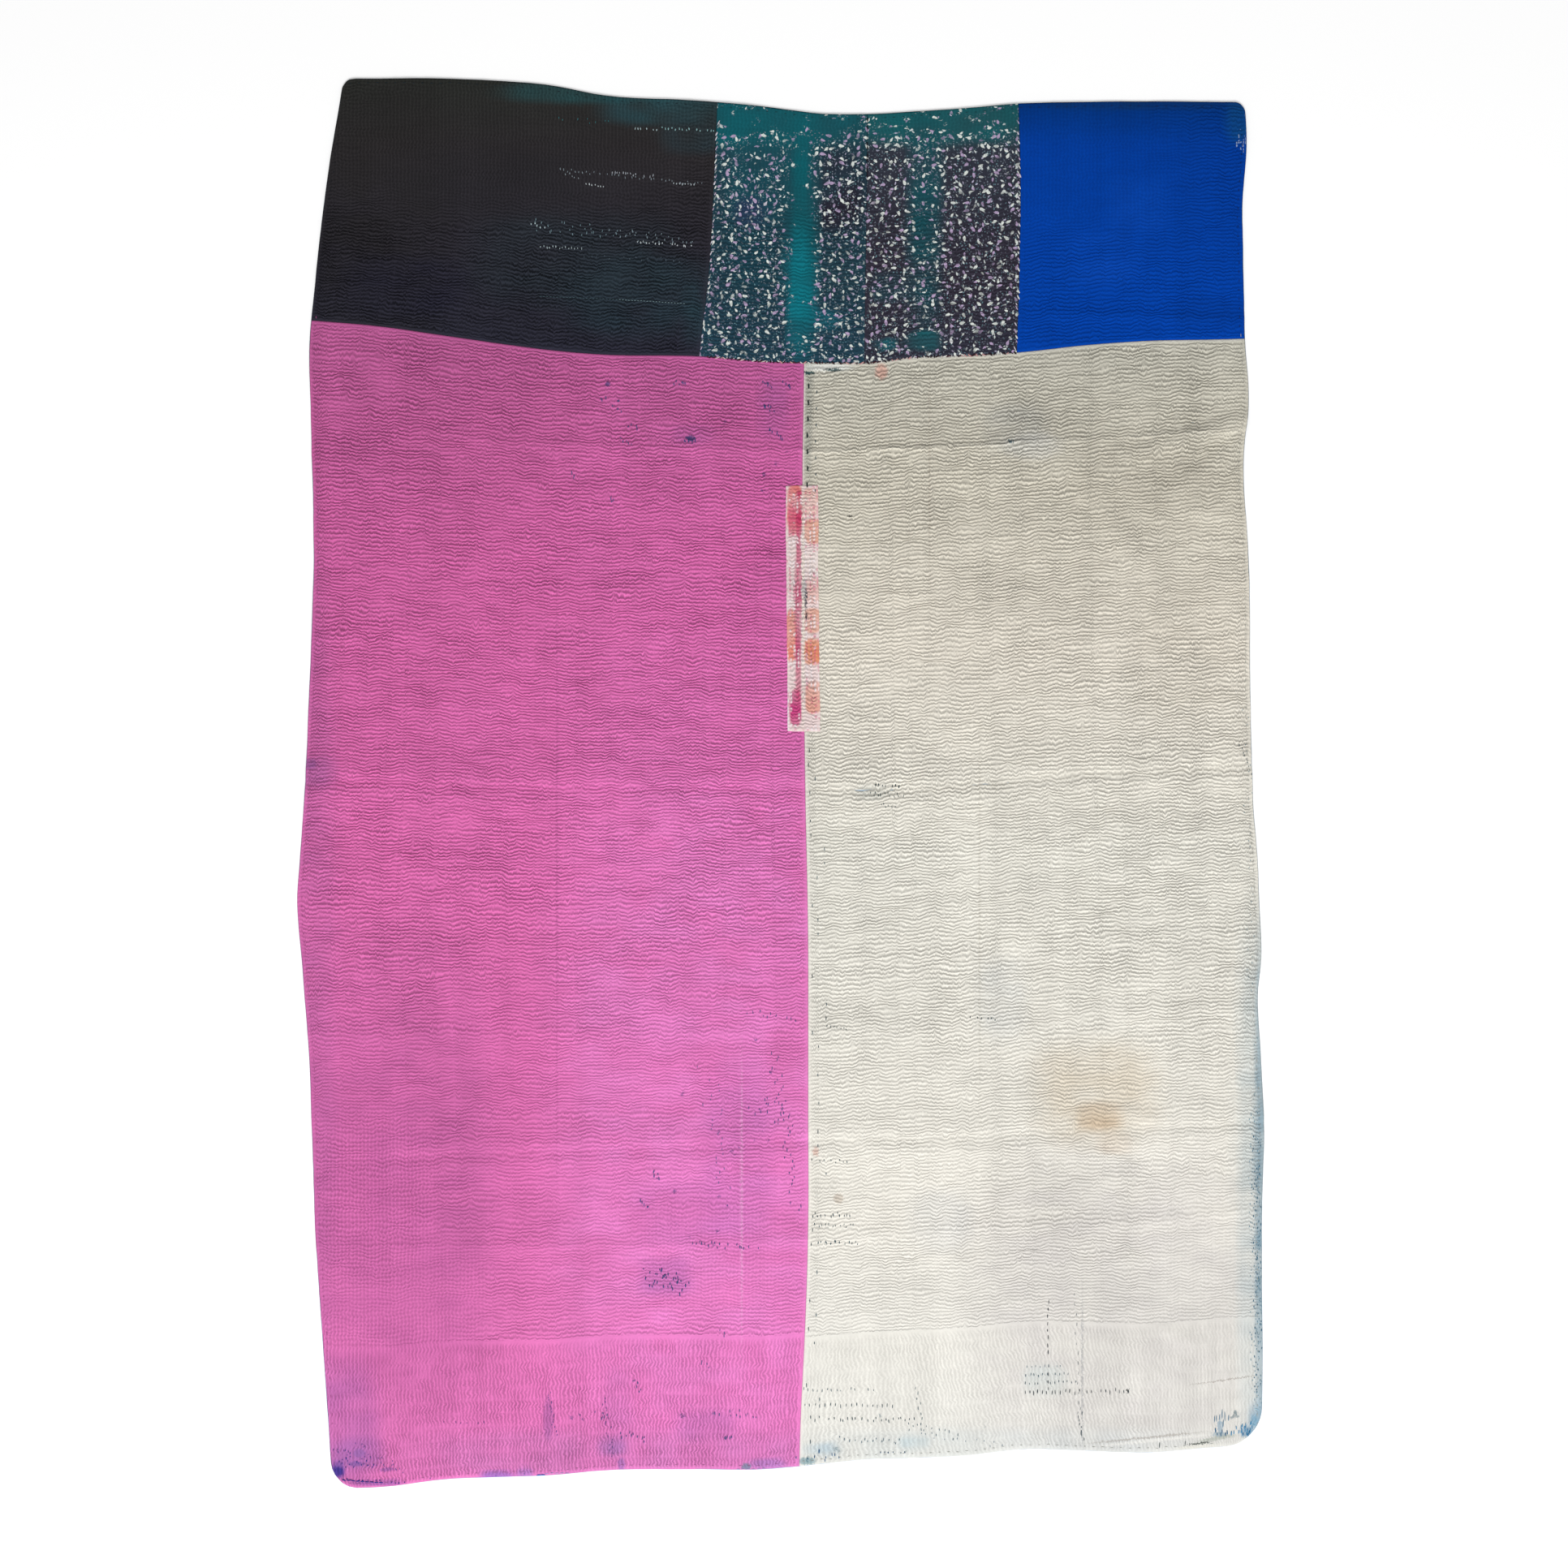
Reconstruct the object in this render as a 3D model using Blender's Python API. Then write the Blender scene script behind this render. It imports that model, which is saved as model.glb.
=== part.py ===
import math

import bmesh
import bpy

# Kantha quilt laid flat, in metres. +Y is its top end, +X its right side, and z = 0 is the
# surface it lies on. The middle of the outline is the origin.
back_thick = 0.0015
top_thick = 0.0016
patch_thick = 0.0010
cloth_gap = 0.0003

# Quilting ripples, sparser than the real rows so that the mesh stays light.
ripple_row = 0.0165
ripple_height = 0.0006
ripple_wander = 0.0022
seam_dip = 0.0004

# The under-cloth shows past the top cloths by an uneven hem of this width.
hem_least = 0.0006
hem_most = 0.0030

# Rows of the lattice stand this far from the outer edges, and from a sharp crease.
edge_steps = (0.012, 0.036)
crease_steps = (0.012, 0.036)
soft_crease_steps = (0.022,)

# Lines that run up the quilt: their x at each height.
upright_names = ("left_edge", "charcoal_seam", "centre_seam", "print_seam", "blue_seam", "right_edge")
upright_columns = (7, 2, 1, 3, 5)
uprights = (
    # y, left_edge, charcoal_seam, centre_seam, print_seam, blue_seam, right_edge
    (1.05, -0.650, -0.092, 0.034, 0.130, 0.354, 0.690),
    (0.95, -0.667, -0.096, 0.034, 0.130, 0.357, 0.695),
    (0.86, -0.680, -0.100, 0.034, 0.129, 0.358, 0.689),
    (0.80, -0.687, -0.103, 0.034, 0.128, 0.357, 0.690),
    (0.74, -0.693, -0.108, 0.035, 0.127, 0.356, 0.691),
    (0.66, -0.701, -0.118, 0.036, 0.126, 0.353, 0.693),
    (0.56, -0.699, -0.124, 0.035, 0.125, 0.352, 0.698),
    (0.51, -0.698, -0.125, 0.034, 0.125, 0.352, 0.692),
    (0.32, -0.695, -0.125, 0.034, 0.125, 0.352, 0.699),
    (0.13, -0.702, -0.122, 0.036, 0.128, 0.352, 0.701),
    (-0.03, -0.709, -0.120, 0.038, 0.130, 0.355, 0.705),
    (-0.12, -0.716, -0.120, 0.040, 0.131, 0.357, 0.712),
    (-0.17, -0.719, -0.120, 0.041, 0.132, 0.358, 0.714),
    (-0.26, -0.713, -0.120, 0.042, 0.133, 0.358, 0.717),
    (-0.31, -0.709, -0.120, 0.042, 0.133, 0.358, 0.712),
    (-0.40, -0.702, -0.120, 0.042, 0.133, 0.358, 0.716),
    (-0.50, -0.698, -0.120, 0.042, 0.133, 0.358, 0.721),
    (-0.65, -0.693, -0.120, 0.042, 0.133, 0.358, 0.718),
    (-0.74, -0.688, -0.120, 0.040, 0.132, 0.357, 0.718),
    (-0.84, -0.681, -0.120, 0.036, 0.130, 0.356, 0.719),
    (-0.94, -0.674, -0.120, 0.031, 0.128, 0.355, 0.718),
    (-1.05, -0.666, -0.120, 0.028, 0.127, 0.354, 0.716),
)

# Lines that run across the quilt: their y at each x. Creases come from old folding.
across_names = ("bottom_edge", "foot_crease", "lower_fold", "low_crease", "middle_fold",
                "high_crease", "upper_fold", "top_seam", "top_edge")
across_rows = (5, 1, 2, 4, 3, 2, 1, 5)
acrosses = (
    # x, bottom_edge, foot_crease, lower_fold, low_crease, middle_fold,
    #    high_crease, upper_fold, top_seam, top_edge
    (-0.72, -1.046, -0.687, -0.560, -0.371, 0.004, 0.290, 0.568, 0.692, 1.051),
    (-0.60, -1.048, -0.687, -0.557, -0.371, 0.001, 0.290, 0.545, 0.682, 1.051),
    (-0.50, -1.036, -0.687, -0.553, -0.371, -0.002, 0.290, 0.522, 0.668, 1.051),
    (-0.41, -1.032, -0.687, -0.551, -0.371, -0.005, 0.290, 0.511, 0.655, 1.047),
    (-0.34, -1.030, -0.687, -0.549, -0.371, -0.006, 0.289, 0.508, 0.646, 1.041),
    (-0.27, -1.023, -0.686, -0.547, -0.371, -0.006, 0.288, 0.504, 0.640, 1.027),
    (-0.12, -1.021, -0.684, -0.541, -0.370, -0.006, 0.286, 0.500, 0.637, 1.018),
    (-0.02, -1.021, -0.680, -0.536, -0.368, -0.006, 0.285, 0.498, 0.629, 1.009),
    (0.07, -1.012, -0.676, -0.531, -0.366, -0.010, 0.284, 0.496, 0.627, 0.998),
    (0.13, -1.006, -0.673, -0.530, -0.364, -0.010, 0.284, 0.499, 0.627, 0.998),
    (0.20, -1.004, -0.670, -0.530, -0.363, -0.009, 0.284, 0.501, 0.635, 1.002),
    (0.28, -1.000, -0.664, -0.530, -0.360, -0.002, 0.285, 0.503, 0.638, 1.007),
    (0.36, -0.991, -0.660, -0.523, -0.355, 0.005, 0.288, 0.509, 0.643, 1.014),
    (0.45, -0.993, -0.656, -0.517, -0.348, 0.014, 0.291, 0.513, 0.653, 1.016),
    (0.55, -0.996, -0.652, -0.513, -0.343, 0.019, 0.296, 0.519, 0.660, 1.017),
    (0.65, -0.988, -0.640, -0.508, -0.340, 0.023, 0.298, 0.525, 0.662, 1.016),
    (0.72, -0.986, -0.632, -0.505, -0.340, 0.026, 0.300, 0.529, 0.664, 1.016),
)

# Each crease lifts the cloth beside it (shoulder) and has a ridge, or a trough if negative.
creases = (
    # line, shoulder height, shoulder half width, ridge height, ridge half width, fades from x, to x
    ("upper_fold", 0.0012, 0.050, 0.0034, 0.022, -0.66, -0.46),
    ("middle_fold", 0.0042, 0.070, -0.0034, 0.018, -1.00, -0.90),
    ("lower_fold", 0.0034, 0.060, -0.0028, 0.018, -0.64, -0.50),
    ("high_crease", 0.0000, 0.050, 0.0014, 0.030, -1.00, -0.90),
    ("low_crease", 0.0000, 0.050, 0.0012, 0.030, -1.00, -0.90),
    ("foot_crease", 0.0000, 0.050, 0.0012, 0.030, -1.00, -0.90),
)

# Soft swells where the cloth does not lie quite flat.
swells = (
    # x, y, half length, half width, turn in degrees, height
    (0.575, 0.400, 0.200, 0.075, 38, 0.0060),
    (0.470, 0.470, 0.150, 0.060, -28, 0.0040),
    (-0.640, 0.260, 0.150, 0.090, 12, 0.0050),
    (-0.560, 0.420, 0.170, 0.080, -30, 0.0035),
    (0.560, 0.800, 0.160, 0.090, 40, 0.0040),
    (0.640, -0.150, 0.170, 0.080, 78, 0.0045),
    (-0.100, -0.200, 0.220, 0.100, 62, 0.0040),
    (0.420, -0.480, 0.170, 0.080, 55, 0.0040),
    (-0.640, -0.170, 0.150, 0.070, 84, 0.0040),
    (0.560, -0.860, 0.160, 0.090, 20, 0.0035),
    (-0.400, 0.860, 0.200, 0.090, 15, 0.0035),
)

# Rounded corners of the outline.
corner_radii = {
    ("left_edge", "bottom_edge"): 0.036,
    ("right_edge", "bottom_edge"): 0.058,
    ("left_edge", "top_edge"): 0.016,
    ("right_edge", "top_edge"): 0.016,
}

# The patch over the centre seam, from its lower to its upper end.
strip_low, strip_high = 0.077, 0.445
strip_left, strip_right = 0.026, 0.024
strip_rows = 14

# Linear base colours, roughness: dyed cotton has no metallic part.
cloth_colours = {
    "back_cloth": (0.010, 0.075, 0.085),
    "charcoal_panel": (0.020, 0.019, 0.024),
    "print_panel_left": (0.045, 0.085, 0.110),
    "print_panel_right": (0.085, 0.080, 0.105),
    "blue_panel": (0.003, 0.045, 0.290),
    "pink_panel": (0.620, 0.130, 0.340),
    "cream_panel": (0.640, 0.610, 0.520),
    "repair_strip": (0.700, 0.330, 0.260),
}
cloth_roughness = 0.92


def table_value(rows, key, column):
    if key <= min(rows[0][0], rows[-1][0]):
        return min(rows, key=lambda row: row[0])[column]
    if key >= max(rows[0][0], rows[-1][0]):
        return max(rows, key=lambda row: row[0])[column]
    ordered = sorted(rows, key=lambda row: row[0])
    for low, high in zip(ordered, ordered[1:]):
        if low[0] <= key <= high[0]:
            share = (key - low[0]) / (high[0] - low[0])
            return low[column] + (high[column] - low[column]) * share
    return ordered[-1][column]


def upright_x(name, y):
    return table_value(uprights, y, 1 + upright_names.index(name))


def across_y(name, x):
    return table_value(acrosses, x, 1 + across_names.index(name))


def bump(distance, half_width):
    reach = abs(distance) / half_width
    return 0.5 + 0.5 * math.cos(math.pi * reach) if reach < 1.0 else 0.0


def ease(value, start, end):
    share = min(1.0, max(0.0, (value - start) / (end - start)))
    return share * share * (3.0 - 2.0 * share)


def lift(x, y):
    height = 0.0
    for line, shoulder, shoulder_half, ridge, ridge_half, fade_start, fade_end in creases:
        away = y - across_y(line, x)
        shape = shoulder * bump(away, shoulder_half) + ridge * bump(away, ridge_half)
        height += shape * ease(x, fade_start, fade_end)
    for centre_x, centre_y, half_length, half_width, turn, rise in swells:
        angle = math.radians(turn)
        along = (x - centre_x) * math.cos(angle) + (y - centre_y) * math.sin(angle)
        side = (y - centre_y) * math.cos(angle) - (x - centre_x) * math.sin(angle)
        height += rise * bump(math.hypot(along / half_length, side / half_width), 1.0)
    return height


def steps_beside(name):
    if name.endswith("_edge"):
        return edge_steps
    if name.endswith("_fold"):
        return crease_steps
    if name.endswith("_crease"):
        return soft_crease_steps
    return ()


def lattice_stations(names, counts):
    # A station is (line below, line above, metres from the one, metres from the other, share).
    stations = []
    lines = {}
    for low, high, count in zip(names, names[1:], counts):
        lines[low] = len(stations)
        stations.append((low, high, 0.0, None, None))
        near = steps_beside(low)
        far = steps_beside(high)
        stations += [(low, high, step, None, None) for step in near]
        start = near[-1] if near else 0.0
        end = far[-1] if far else 0.0
        for index in range(1, count + 1):
            stations.append((low, high, start, end, index / (count + 1)))
        stations += [(low, high, None, step, None) for step in reversed(far)]
    lines[names[-1]] = len(stations)
    stations.append((names[-2], names[-1], None, 0.0, None))
    return stations, lines


def station_place(station, line_place, where):
    low, high, from_low, from_high, share = station
    if share is not None:
        start = line_place(low, where) + from_low
        end = line_place(high, where) - from_high
        return start + (end - start) * share
    if from_low is not None:
        return line_place(low, where) + from_low
    return line_place(high, where) - from_high


column_stations, column_of = lattice_stations(upright_names, upright_columns)
row_stations, row_of = lattice_stations(across_names, across_rows)
last_column = len(column_stations) - 1
last_row = len(row_stations) - 1


def round_corner(x, y):
    for (side, end), radius in corner_radii.items():
        x_sign = 1.0 if side == "right_edge" else -1.0
        y_sign = 1.0 if end == "top_edge" else -1.0
        across = 1.0 - x_sign * (upright_x(side, y) - x) / radius
        along = 1.0 - y_sign * (across_y(end, x) - y) / radius
        if across > 0.0 and along > 0.0:
            new_across = across * math.sqrt(max(0.0, 1.0 - along * along / 2.0))
            new_along = along * math.sqrt(max(0.0, 1.0 - across * across / 2.0))
            x += x_sign * (new_across - across) * radius
            y += y_sign * (new_along - along) * radius
    return x, y


def lattice_point(column, row):
    y = station_place(row_stations[row], across_y, 0.0)
    for _ in range(6):
        x = station_place(column_stations[column], upright_x, y)
        y = station_place(row_stations[row], across_y, x)
    x, y = round_corner(x, y)
    return x, y, lift(x, y)


def centred_lattice():
    # All lattice points, moved so that the middle of the outline is the origin.
    columns = [[lattice_point(column, row) for row in range(last_row + 1)]
               for column in range(last_column + 1)]
    x_values = [point[0] for points in columns for point in points]
    y_values = [point[1] for points in columns for point in points]
    middle_x = (min(x_values) + max(x_values)) / 2.0
    middle_y = (min(y_values) + max(y_values)) / 2.0
    return [[(x - middle_x, y - middle_y, height) for x, y, height in points] for points in columns]


lattice = centred_lattice()


def between(column, row):
    # A place on the lattice at fractions of its columns and rows.
    low_column = min(int(column), last_column - 1)
    low_row = min(int(row), last_row - 1)
    across = column - low_column
    along = row - low_row
    corners = (
        (lattice[low_column][low_row], (1.0 - across) * (1.0 - along)),
        (lattice[low_column + 1][low_row], across * (1.0 - along)),
        (lattice[low_column][low_row + 1], (1.0 - across) * along),
        (lattice[low_column + 1][low_row + 1], across * along),
    )
    return tuple(sum(point[axis] * weight for point, weight in corners) for axis in range(3))


def inset(column, row, step_column, step_row, distance):
    # The lattice fraction that moves a border point inwards by a distance.
    here = lattice[column][row]
    there = lattice[column + step_column][row + step_row]
    return distance / math.dist(here[:2], there[:2])


def hem_width(column, row):
    wave = 0.5 + 0.25 * math.sin(1.7 * column + 0.9 * row) + 0.25 * math.sin(0.6 * row - 2.3 * column)
    return hem_least + (hem_most - hem_least) * wave


def panel_place(column, row, columns, rows):
    # Lattice place of a panel's point: pulled in by half the gap at seams, by the hem outside.
    place_column, place_row = float(column), float(row)
    width = cloth_gap / 2.0
    if column == columns[0]:
        pull = hem_width(column, row) if column == 0 else width
        place_column += inset(column, row, 1, 0, pull)
    if column == columns[1]:
        pull = hem_width(column, row) if column == last_column else width
        place_column -= inset(column, row, -1, 0, pull)
    if row == rows[0]:
        pull = hem_width(column, row) if row == 0 else width
        place_row += inset(column, row, 0, 1, pull)
    if row == rows[1]:
        pull = hem_width(column, row) if row == last_row else width
        place_row -= inset(column, row, 0, -1, pull)
    return place_column, place_row


def cloth_grid(columns, rows):
    # A grid whose points carry their lattice column and row, and later 1.0 on the face side.
    across = columns[1] - columns[0]
    along = rows[1] - rows[0]
    bm = bmesh.new()
    bmesh.ops.create_grid(bm, x_segments=across, y_segments=along, size=1.0)
    column_layer = bm.verts.layers.float.new("column")
    row_layer = bm.verts.layers.float.new("row")
    bm.verts.layers.float.new("face_side")
    for vert in bm.verts:
        vert[column_layer] = columns[0] + round((vert.co.x + 1.0) / 2.0 * across)
        vert[row_layer] = rows[0] + round((vert.co.y + 1.0) / 2.0 * along)
    return bm


def layer_values(bm):
    return [bm.verts.layers.float[name] for name in ("column", "row", "face_side")]


def thicken(bm, thickness):
    # The grid stays as the underside, and its extruded copy becomes the face side.
    under_faces = list(bm.faces)
    raised = bmesh.ops.extrude_face_region(bm, geom=under_faces, use_keep_orig=True)
    face_side = bm.verts.layers.float["face_side"]
    for item in raised["geom"]:
        if isinstance(item, bmesh.types.BMVert):
            item.co.z += thickness
            item[face_side] = 1.0
    bmesh.ops.reverse_faces(bm, faces=under_faces)
    return under_faces


def split_shortest(bm, faces):
    # The facets of a cloth and of the cloth under it are split along the same diagonals.
    bmesh.ops.triangulate(bm, faces=faces, quad_method="SHORT_EDGE")


def ripple_cuts(rows):
    # How many times each band of the lattice is cut across for the ripples.
    middle = last_column // 2
    heights = [lattice[middle][row + 1][1] - lattice[middle][row][1] for row in range(*rows)]
    return [max(0, round(height / ripple_row) - 1) for height in heights]


def quilt_rows(bm, columns, rows):
    # Cuts the face side into ripple rows, raises every other one and dips the border.
    column_layer, row_layer, face_side = layer_values(bm)
    cuts = ripple_cuts(rows)
    for band, cut in enumerate(cuts):
        ends = {rows[0] + band, rows[0] + band + 1}
        ring = [
            edge for edge in bm.edges
            if all(vert[face_side] == 1.0 for vert in edge.verts)
            and edge.verts[0][column_layer] == edge.verts[1][column_layer]
            and {vert[row_layer] for vert in edge.verts} == ends
        ]
        if cut:
            bmesh.ops.subdivide_edgering(bm, edges=ring, cuts=cut, interp_mode="LINEAR")
    for vert in bm.verts:
        if vert[face_side] < 0.5:
            continue
        column = vert[column_layer]
        row = vert[row_layer]
        if column in columns or row in rows:
            vert.co.z -= seam_dip
            continue
        band = int(row + 0.01) - rows[0]
        count = sum(cut + 1 for cut in cuts[:band]) + round((row - rows[0] - band) * (cuts[band] + 1))
        vert.co.z += ripple_height if count % 2 else -ripple_height
        vert.co.y += ripple_wander * math.sin(2.4 * column + 0.31 * count)


def cloth_object(name, bm, parent):
    bmesh.ops.recalc_face_normals(bm, faces=list(bm.faces))
    mesh = bpy.data.meshes.new(name)
    bm.to_mesh(mesh)
    bm.free()
    for layer in ("column", "row", "face_side"):
        mesh.attributes.remove(mesh.attributes[layer])
    material = bpy.data.materials.new(name)
    material.use_nodes = True
    shader = material.node_tree.nodes["Principled BSDF"]
    shader.inputs["Base Color"].default_value = (*cloth_colours[name], 1.0)
    shader.inputs["Roughness"].default_value = cloth_roughness
    shader.inputs["Metallic"].default_value = 0.0
    mesh.materials.append(material)
    cloth = bpy.data.objects.new(name, mesh)
    bpy.context.scene.collection.objects.link(cloth)
    cloth.parent = parent
    return cloth


def back_cloth(parent):
    bm = cloth_grid((0, last_column), (0, last_row))
    column_layer, row_layer, _ = layer_values(bm)
    for vert in bm.verts:
        vert.co = lattice[int(vert[column_layer])][int(vert[row_layer])]
    under_faces = thicken(bm, back_thick)
    face_side = bm.verts.layers.float["face_side"]
    top_faces = [face for face in bm.faces if all(vert[face_side] == 1.0 for vert in face.verts)]
    split_shortest(bm, top_faces + under_faces)
    return cloth_object("back_cloth", bm, parent)


def top_cloth(name, left, right, bottom, top, parent):
    columns = (column_of[left], column_of[right])
    rows = (row_of[bottom], row_of[top])
    bm = cloth_grid(columns, rows)
    column_layer, row_layer, _ = layer_values(bm)
    for vert in bm.verts:
        place = panel_place(int(vert[column_layer]), int(vert[row_layer]), columns, rows)
        x, y, height = between(*place)
        vert.co = (x, y, height + back_thick + cloth_gap)
    under_faces = thicken(bm, top_thick)
    split_shortest(bm, under_faces)
    quilt_rows(bm, columns, rows)
    return cloth_object(name, bm, parent)


def row_at(column, y):
    # The lattice row, as a fraction, that passes a height at one column.
    for row in range(last_row):
        low, high = lattice[column][row][1], lattice[column][row + 1][1]
        if low <= y <= high:
            return row + (y - low) / (high - low)
    return float(last_row)


def repair_strip(parent):
    # A narrow patch laid over the crests of the ripples on both sides of the centre seam.
    seam = column_of["centre_seam"]
    low_row = row_at(seam, strip_low)
    high_row = row_at(seam, strip_high)
    left_width = lattice[seam][0][0] - lattice[seam - 1][0][0]
    right_width = lattice[seam + 1][0][0] - lattice[seam][0][0]
    columns = (seam - strip_left / left_width, float(seam), seam + strip_right / right_width)
    clear = back_thick + cloth_gap + top_thick + ripple_height + cloth_gap
    bm = bmesh.new()
    for name in ("column", "row", "face_side"):
        bm.verts.layers.float.new(name)
    bmesh.ops.create_grid(bm, x_segments=2, y_segments=strip_rows, size=1.0)
    for vert in bm.verts:
        column = columns[round(vert.co.x + 1.0)]
        share = (vert.co.y + 1.0) / 2.0
        x, y, height = between(column, low_row + (high_row - low_row) * share)
        vert.co = (x, y, height + clear)
    split_shortest(bm, thicken(bm, patch_thick))
    return cloth_object("repair_strip", bm, parent)


def build():
    for item in list(bpy.data.objects):
        bpy.data.objects.remove(item)
    quilt = bpy.data.objects.new("quilt", None)
    bpy.context.scene.collection.objects.link(quilt)
    back_cloth(quilt)
    top_cloth("charcoal_panel", "left_edge", "charcoal_seam", "top_seam", "top_edge", quilt)
    top_cloth("print_panel_left", "charcoal_seam", "print_seam", "top_seam", "top_edge", quilt)
    top_cloth("print_panel_right", "print_seam", "blue_seam", "top_seam", "top_edge", quilt)
    top_cloth("blue_panel", "blue_seam", "right_edge", "top_seam", "top_edge", quilt)
    top_cloth("pink_panel", "left_edge", "centre_seam", "bottom_edge", "top_seam", quilt)
    top_cloth("cream_panel", "centre_seam", "right_edge", "bottom_edge", "top_seam", quilt)
    repair_strip(quilt)


build()
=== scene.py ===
import math

import bpy
import numpy as np
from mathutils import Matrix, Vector
from mathutils.bvhtree import BVHTree


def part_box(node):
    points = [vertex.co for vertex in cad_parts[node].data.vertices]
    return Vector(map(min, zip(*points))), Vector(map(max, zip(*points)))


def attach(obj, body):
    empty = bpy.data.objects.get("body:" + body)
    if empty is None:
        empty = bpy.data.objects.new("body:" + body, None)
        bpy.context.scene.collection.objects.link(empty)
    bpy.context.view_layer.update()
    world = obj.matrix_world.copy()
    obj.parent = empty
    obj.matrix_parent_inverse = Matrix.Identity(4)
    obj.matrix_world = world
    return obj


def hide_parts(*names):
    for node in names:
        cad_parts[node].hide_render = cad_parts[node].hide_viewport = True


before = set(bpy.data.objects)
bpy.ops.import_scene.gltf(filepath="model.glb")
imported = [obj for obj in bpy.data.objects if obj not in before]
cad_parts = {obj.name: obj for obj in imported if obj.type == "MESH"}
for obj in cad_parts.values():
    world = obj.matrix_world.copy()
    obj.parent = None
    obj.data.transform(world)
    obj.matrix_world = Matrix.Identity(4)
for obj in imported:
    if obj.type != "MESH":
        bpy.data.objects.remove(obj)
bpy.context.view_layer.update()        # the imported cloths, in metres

print("stage: frame loaded")


# Lines of the quilt, smoothed through a few stations. x runs right, y towards the small panels.
def smoothLine(stations, values, step=0.004):
    s = np.array(stations, float)
    v = np.array(values, float)
    slope = np.gradient(v, s)
    t = np.arange(s[0], s[-1], step)
    i = np.clip(np.searchsorted(s, t, side="right") - 1, 0, len(s) - 2)
    h = s[i + 1] - s[i]
    f = (t - s[i]) / h
    low = (2 * f ** 3 - 3 * f ** 2 + 1) * v[i] + (f ** 3 - 2 * f ** 2 + f) * h * slope[i]
    high = (3 * f ** 2 - 2 * f ** 3) * v[i + 1] + (f ** 3 - f ** 2) * h * slope[i + 1]
    return t, low + high


sideStations = (-1.05, -0.94, -0.84, -0.74, -0.65, -0.50, -0.40, -0.31, -0.26, -0.17, -0.12, -0.03,
                0.13, 0.32, 0.51, 0.56, 0.66, 0.74, 0.80, 0.86, 0.95, 1.05)
sideLines = {
    "leftEdge": (-0.666, -0.674, -0.681, -0.688, -0.693, -0.698, -0.702, -0.709, -0.713, -0.719,
                 -0.716, -0.709, -0.702, -0.695, -0.698, -0.699, -0.701, -0.693, -0.687, -0.680,
                 -0.667, -0.650),
    "charcoalSeam": (-0.120,) * 12 + (-0.122, -0.125, -0.125, -0.124, -0.118, -0.108, -0.103, -0.100,
                                      -0.096, -0.092),
    "centreSeam": (0.028, 0.031, 0.036, 0.040, 0.042, 0.042, 0.042, 0.042, 0.042, 0.041, 0.040, 0.038,
                   0.036, 0.034, 0.034, 0.035, 0.036, 0.035, 0.034, 0.034, 0.034, 0.034),
    "printSeam": (0.127, 0.128, 0.130, 0.132, 0.133, 0.133, 0.133, 0.133, 0.133, 0.132, 0.131, 0.130,
                  0.128, 0.125, 0.125, 0.125, 0.126, 0.127, 0.128, 0.129, 0.130, 0.130),
    "blueSeam": (0.354, 0.355, 0.356, 0.357, 0.358, 0.358, 0.358, 0.358, 0.358, 0.358, 0.357, 0.355,
                 0.352, 0.352, 0.352, 0.352, 0.353, 0.356, 0.357, 0.358, 0.357, 0.354),
    "rightEdge": (0.716, 0.718, 0.719, 0.718, 0.718, 0.721, 0.716, 0.712, 0.717, 0.714, 0.712, 0.705,
                  0.701, 0.699, 0.692, 0.698, 0.693, 0.691, 0.690, 0.689, 0.695, 0.690),
}
endStations = (-0.72, -0.60, -0.50, -0.41, -0.34, -0.27, -0.12, -0.02, 0.07, 0.13, 0.20, 0.28, 0.36,
               0.45, 0.55, 0.65, 0.72)
endLines = {
    "bottomEdge": (-1.046, -1.048, -1.036, -1.032, -1.030, -1.023, -1.021, -1.021, -1.012, -1.006,
                   -1.004, -1.000, -0.991, -0.993, -0.996, -0.988, -0.986),
    "footCrease": (-0.687, -0.687, -0.687, -0.687, -0.687, -0.686, -0.684, -0.680, -0.676, -0.673,
                   -0.670, -0.664, -0.660, -0.656, -0.652, -0.640, -0.632),
    "lowerFold": (-0.560, -0.557, -0.553, -0.551, -0.549, -0.547, -0.541, -0.536, -0.531, -0.530,
                  -0.530, -0.530, -0.523, -0.517, -0.513, -0.508, -0.505),
    "lowCrease": (-0.371, -0.371, -0.371, -0.371, -0.371, -0.371, -0.370, -0.368, -0.366, -0.364,
                  -0.363, -0.360, -0.355, -0.348, -0.343, -0.340, -0.340),
    "middleFold": (0.004, 0.001, -0.002, -0.005, -0.006, -0.006, -0.006, -0.006, -0.010, -0.010,
                   -0.009, -0.002, 0.005, 0.014, 0.019, 0.023, 0.026),
    "highCrease": (0.290, 0.290, 0.290, 0.290, 0.289, 0.288, 0.286, 0.285, 0.284, 0.284, 0.284,
                   0.285, 0.288, 0.291, 0.296, 0.298, 0.300),
    "upperFold": (0.568, 0.545, 0.522, 0.511, 0.508, 0.504, 0.500, 0.498, 0.496, 0.499, 0.501,
                  0.503, 0.509, 0.513, 0.519, 0.525, 0.529),
    "topSeam": (0.692, 0.682, 0.668, 0.655, 0.646, 0.640, 0.637, 0.629, 0.627, 0.627, 0.635, 0.638,
                0.643, 0.653, 0.660, 0.662, 0.664),
    "topEdge": (1.051, 1.051, 1.051, 1.047, 1.041, 1.027, 1.018, 1.009, 0.998, 0.998, 1.002, 1.007,
                1.014, 1.016, 1.017, 1.016, 1.016),
}
sideSamples = {name: smoothLine(sideStations, values) for name, values in sideLines.items()}
endSamples = {name: smoothLine(endStations, values) for name, values in endLines.items()}
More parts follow.
